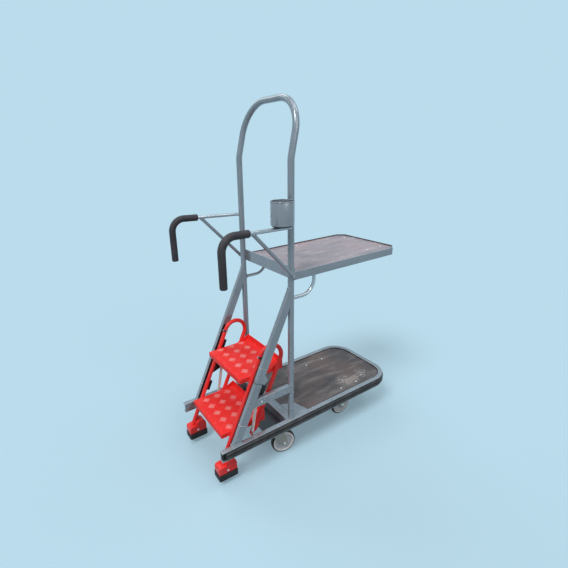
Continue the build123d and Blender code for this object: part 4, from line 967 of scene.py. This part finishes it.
for sign in signs:
    y = sign * leg_y
    for lobe, half in zip(shoe_lobes, (0.0250, 0.0246)):
        shoe_skins.append(prism(lobe, y - half, y + half, "y"))
    for way in (sign, -sign):
        shoe_bolts.append(turned(bolt_head, (bolt_x, y + way * 0.0245, bolt_z), (0, way, 0), 32))
    shoe_bolts.append(turned(rear_head, (shoe_rear + 0.0004, y, 0.078), (-1, 0, 0), 32))
piece("shoe_caps", shoe_skins, red_coat, "shoes", "step_unit", 0.0065)
piece("shoe_bolts", shoe_bolts, axle_steel, body="step_unit")

# Castors: a bolted top plate over two ball races, a pressed fork in dull yellowish zinc, a bright
# axle bolt, and a wheel with a pale grey centre in a white ring inside a thin black tyre.
wheel_radius, crown_low, crown_top, plate_low = 0.0625, 0.131, 0.134, 0.155
fork_inner, fork_sheet, fork_ring, shoulder = 0.020, 0.003, 0.0172, 0.0325
parked_turn = radians(-12)
castor_zinc = bright_metal("dull castor zinc", (0.42, 0.41, 0.35), 0.42, (1, 1, 3), 0.35), "castor_zinc"


def moulded(name, colour, deep, base, roughness):
    """Moulded nylon: drifts between two shades and a fine grain."""
    material, nodes, links, shader, place = plain(name, base, roughness)
    drift = mottle(nodes, links, place, 60, 0.35, 0.7, 6)
    links.new(blended(nodes, links, drift, colour, deep), shader.inputs["Base Color"])
    roughened(nodes, links, shader, mottle(nodes, links, place, 700, 0.3, 0.7, 2), 0.0001, 0.3)
    return material


shades = (0.64, 0.67, 0.71), (0.54, 0.57, 0.61), (0.60, 0.62, 0.64)
wheel_grey = moulded("pale grey moulded nylon", *shades, 0.35), "wheel_grey"
shades = (0.95, 0.95, 0.95), (0.88, 0.88, 0.88)
rim_white = soft_black("white moulded nylon", *shades, 0.25, 700, 0.0001), "wheel_grey"
shades = (0.026, 0.025, 0.022), (0.085, 0.080, 0.070)
tyre_black = soft_black("castor tyre rubber", *shades, 0.50, 800, 0.0002), "tyre_black"


def both_faces(half):
    """A closed profile (radius, across) from its half, mirrored about the wheel's middle. A half that
    ends on the middle shares that point."""
    half = np.array(half)
    back = half[-2::-1] if half[-1, 1] == 0 else half[::-1]
    return np.vstack([half, back * (1, -1)])


wheel_profile = both_faces(
    (
        (0.0051, 0.0197), (0.0115, 0.0197), (0.0140, 0.0190), (0.0150, 0.0170), (0.0150, 0.0105),
        (0.0165, 0.0088), (0.0220, 0.0082), (0.0360, 0.0096), (0.0415, 0.0110), (0.0432, 0.0114),
        (0.0440, 0.0070), (0.0475, 0.0070),
    )
)
rim_profile = both_faces(
    (
        (0.0462, 0.0060), (0.0465, 0.0118), (0.0474, 0.0129), (0.0484, 0.0132), (0.0540, 0.0132),
        (0.0552, 0.0126), (0.0554, 0.0060),
    )
)
tyre_profile = both_faces(
    (
        (0.0510, 0.0085), (0.0550, 0.0122), (0.0562, 0.0127), (0.0590, 0.0122), (0.0609, 0.0104),
        (0.0620, 0.0078), (0.0625, 0.0044), (0.0625, 0.0),
    )
)
crown = (
    (0.0004, crown_low), (0.0338, crown_low), (0.0356, crown_low + 0.0008), (0.0360, crown_top - 0.001),
    (0.0350, crown_top), (0.0004, crown_top),
)
kingpin_nut = ((0.0004, 0.1257), (0.0078, 0.1257), (0.0086, 0.1265), (0.0086, 0.1307), (0.0004, 0.1307))
kingpin = ((0.0004, 0.1300), (0.0059, 0.1300), (0.0059, 0.1345), (0.0004, 0.1345))
plate_bolt = ((0.0004, 0.1506), (0.0052, 0.1506), (0.0058, 0.1514), (0.0058, 0.1551), (0.0004, 0.1551))
boss = ((0.0052, 0.0), (0.0105, 0.0), (0.0100, 0.0008), (0.0052, 0.0010))
shank = ((0.0004, -0.0232), (0.0049, -0.0232), (0.0049, 0.0232), (0.0004, 0.0232))
axle_nut = (
    (0.0004, 0.0232), (0.0078, 0.0232), (0.0078, 0.0240), (0.0068, 0.0241), (0.0068, 0.0270),
    (0.0060, 0.0277), (0.0038, 0.0278), (0.0036, 0.0280), (0.0004, 0.0280),
)


def race_profile(low):
    """Two ball races in a pressed housing: bulges above and below a waist, up to the top plate."""
    return (
        (0.0004, low), (0.0310, low), (0.0356, low + 0.002), (0.0360, low + 0.0065), (0.0330, low + 0.0080),
        (0.0330, low + 0.0098), (0.0360, low + 0.0112), (0.0356, plate_low), (0.0004, plate_low),
    )


def fork_outline(castor_x, axle_x):
    """A fork's side in x and z: from the crown's width it narrows to a ring round the axle, along the
    ring's tangents, whose angles are those of the shoulders plus or less arccos(ring / distance)."""
    eye = np.array((axle_x, wheel_radius))
    shoulders = np.array(((castor_x - shoulder, crown_top), (castor_x + shoulder, crown_top)))
    tangents = []
    for place, hand in zip(shoulders, signs):
        reach = place - eye
        tangents.append(atan2(reach[1], reach[0]) + hand * np.arccos(fork_ring / np.hypot(*reach)))
    sweep = np.linspace(tangents[0], tangents[1] + 2 * pi, 30)
    return np.vstack([shoulders[::-1], eye + fork_ring * np.stack([np.cos(sweep), np.sin(sweep)], 1)])


def swung(skins, x, y, angle):
    """Skins turned about the upright line at x, y: x' = x cos a - y sin a and y' = x sin a + y cos a."""
    turn = np.array(((cos(angle), sin(angle), 0), (-sin(angle), cos(angle), 0), (0, 0, 1)))
    return [((points - (x, y, 0)) @ turn + (x, y, 0), quads, ends) for points, quads, ends in skins]


plate_length, plate_width, bolt_ahead, bolt_aside = 0.104, 0.084, 0.042, 0.032
plate_skins, plate_bolts, front_forks, front_axles = [], [], [], []
for name, castor_x, castor_y, trail in (
    ("rear_left", -0.2195, 0.159, 0.035), ("rear_right", -0.2195, -0.159, 0.035),
    ("front_left", 0.2575, 0.114, 0.0), ("front_right", 0.2575, -0.114, 0.0),
):
    swivels = trail > 0
    middle, axle = (castor_x, castor_y, 0), np.array((castor_x + trail, castor_y, wheel_radius))
    plate = box_section(plate_length, plate_width, 0.006) + middle[:2]
    plate_skins.append(prism(plate, plate_low, rail_bottom))
    plate_skins.append(turned(race_profile(crown_top + (0.0003 if swivels else 0)), middle, steps=48))
    if swivels:
        plate_skins.append(turned(kingpin_nut, middle, steps=36, flats=6))
        plate_skins.append(turned(kingpin, middle, steps=24))
    for dx in (-bolt_ahead, bolt_ahead):
        for dy in (-bolt_aside, bolt_aside):
            plate_bolts.append(turned(plate_bolt, (castor_x + dx, castor_y + dy, 0), steps=36, flats=6))
    fork_skins = [turned(crown, middle, steps=64)]
    axle_skins = [turned(shank, axle, (0, 1, 0), 28)]
    for way in signs:
        inner = castor_y + way * fork_inner
        low, high = sorted((inner, inner + way * fork_sheet))
        fork_skins.append(prism(fork_outline(castor_x, axle[0]), low, high, "y"))
        fork_skins.append(turned(boss, (axle[0], inner + way * 0.0029, wheel_radius), (0, way, 0), 40))
        axle_skins.append(turned(axle_nut, axle, (0, way, 0), 36, flats=6))
    wheel_skins, rim_skins, tyre_skins = (
        [turned(profile, axle, (0, 1, 0), steps, True)]
        for profile, steps in ((wheel_profile, 72), (rim_profile, 96), (tyre_profile, 96))
    )
    if swivels:
        fork_skins, axle_skins, wheel_skins, rim_skins, tyre_skins = (
            swung(skins, castor_x, castor_y, parked_turn)
            for skins in (fork_skins, axle_skins, wheel_skins, rim_skins, tyre_skins)
        )
        body = f"swivel_{name}"
        piece(f"fork_{name}_pressing", fork_skins, castor_zinc, f"fork_{name}", body, 0.0008)
        piece(f"axle_{name}_bolt", axle_skins, axle_steel, f"axle_{name}", body)
    else:
        front_forks += fork_skins
        front_axles += axle_skins
    body = f"wheel_{name}"
    piece(f"wheel_{name}_centre", wheel_skins, wheel_grey, f"wheel_{name}", body, sharp=32)
    piece(f"wheel_{name}_rim", rim_skins, rim_white, None, body, sharp=45)
    piece(f"tyre_{name}_ring", tyre_skins, tyre_black, f"tyre_{name}", body, sharp=50)
piece("castor_top_plates", plate_skins, castor_zinc, "castor_plates", bevel=0.0005)
piece("castor_plate_bolts", plate_bolts, axle_steel)
piece("front_fork_pressings", front_forks, castor_zinc, "fork_front", bevel=0.0008)
piece("front_axle_bolts", front_axles, axle_steel, "axle_front")

# Floor and light: a plain pale blue floor and backdrop of one colour, and six broad suns, the
# strongest from behind on the left. With the sky's, their shares of the level floor's light add to 1.
backdrop = (0.497, 0.716, 0.838)
sky_share = 0.13


def seen_rays(nodes, links):
    """1 for the rays that show a backdrop: from the camera, off a gloss or through a clear thing."""
    path = nodes.new("ShaderNodeLightPath")
    either = path.outputs["Is Camera Ray"]
    for ray in ("Is Glossy Ray", "Is Transmission Ray"):
        either = multiplied(nodes, links, either, path.outputs[ray], "MAXIMUM")
    return either


floor_mesh = bpy.data.meshes.new("floor")
floor_mesh.from_pydata([(-40, -40, 0), (40, -40, 0), (40, 40, 0), (-40, 40, 0)], [], [(0, 1, 2, 3)])
material, nodes, links, shader, _ = plain("pale blue floor", backdrop, 1.0)
shader.inputs["Specular IOR Level"].default_value = 0.0
seen = seen_rays(nodes, links)
links.new(blended(nodes, links, seen, (0.16, 0.18, 0.20), backdrop), shader.inputs["Base Color"])
glow = nodes.new("ShaderNodeEmission")
glow.inputs["Color"].default_value = (*backdrop, 1)
mix = nodes.new("ShaderNodeMixShader")
links.new(ranged(nodes, links, seen, 0, 0.30), mix.inputs["Fac"])
links.new(shader.outputs[0], mix.inputs[1])
links.new(glow.outputs[0], mix.inputs[2])
links.new(mix.outputs[0], nodes["Material Output"].inputs["Surface"])
floor_mesh.materials.append(material)
floor = bpy.data.objects.new("floor", floor_mesh)
bpy.context.scene.collection.objects.link(floor)
for name, travel, share, spread in (
    ("rear left", (0.58, 0.20, -0.79), 0.38, 20),
    ("overhead", (0.15, -0.02, -0.99), 0.12, 30),
    ("front", (-0.45, 0.20, -0.87), 0.15, 26),
    ("far side", (-0.08, -0.62, -0.78), 0.08, 26),
    ("low far side", (0.30, -0.80, -0.52), 0.04, 24),
    ("near side", (-0.05, 0.85, -0.52), 0.10, 40),
):
    travel = Vector(travel).normalized()
    lamp = bpy.data.lights.new(name, "SUN")
    lamp.energy = share * pi / -travel.z
    lamp.angle = radians(spread)
    holder = bpy.data.objects.new(name, lamp)
    holder.rotation_euler = travel.to_track_quat("-Z", "Y").to_euler()
    bpy.context.scene.collection.objects.link(holder)
world = bpy.data.worlds.new("studio")
bpy.context.scene.world = world
world.use_nodes = True
nodes, links = world.node_tree.nodes, world.node_tree.links
sky = blended(nodes, links, seen_rays(nodes, links), (sky_share,) * 3, backdrop)
links.new(sky, nodes["Background"].inputs["Color"])

# Camera: the photograph's viewpoint, above and behind the right side. Its heading, pitch and roll
# turn it, and its lens and shift give the photograph's frame of 568 x 568.
heading, pitch, roll = radians(58.65), radians(19.62), radians(-2.25)
focal_pixels, picture_pixels, sensor = 382.6, 568, 36
ahead = Vector((cos(heading) * cos(pitch), sin(heading) * cos(pitch), -sin(pitch)))
level = Vector((sin(heading), -cos(heading), 0))
over = level.cross(ahead)
right = level * cos(roll) + over * sin(roll)
above = over * cos(roll) - level * sin(roll)
camera = bpy.data.cameras.new("photograph")
camera.sensor_width, camera.sensor_fit = sensor, "HORIZONTAL"
camera.lens = sensor * focal_pixels / picture_pixels
camera.shift_x, camera.shift_y = 0.0630, -0.00687
viewpoint = bpy.data.objects.new("photograph", camera)
turned_to = Matrix((right, above, -ahead)).transposed().to_4x4()
viewpoint.matrix_world = Matrix.Translation((-1.10864, -1.40780, 1.47248)) @ turned_to
bpy.context.scene.collection.objects.link(viewpoint)
bpy.context.scene.camera = viewpoint
bpy.context.scene.view_settings.view_transform = "Standard"
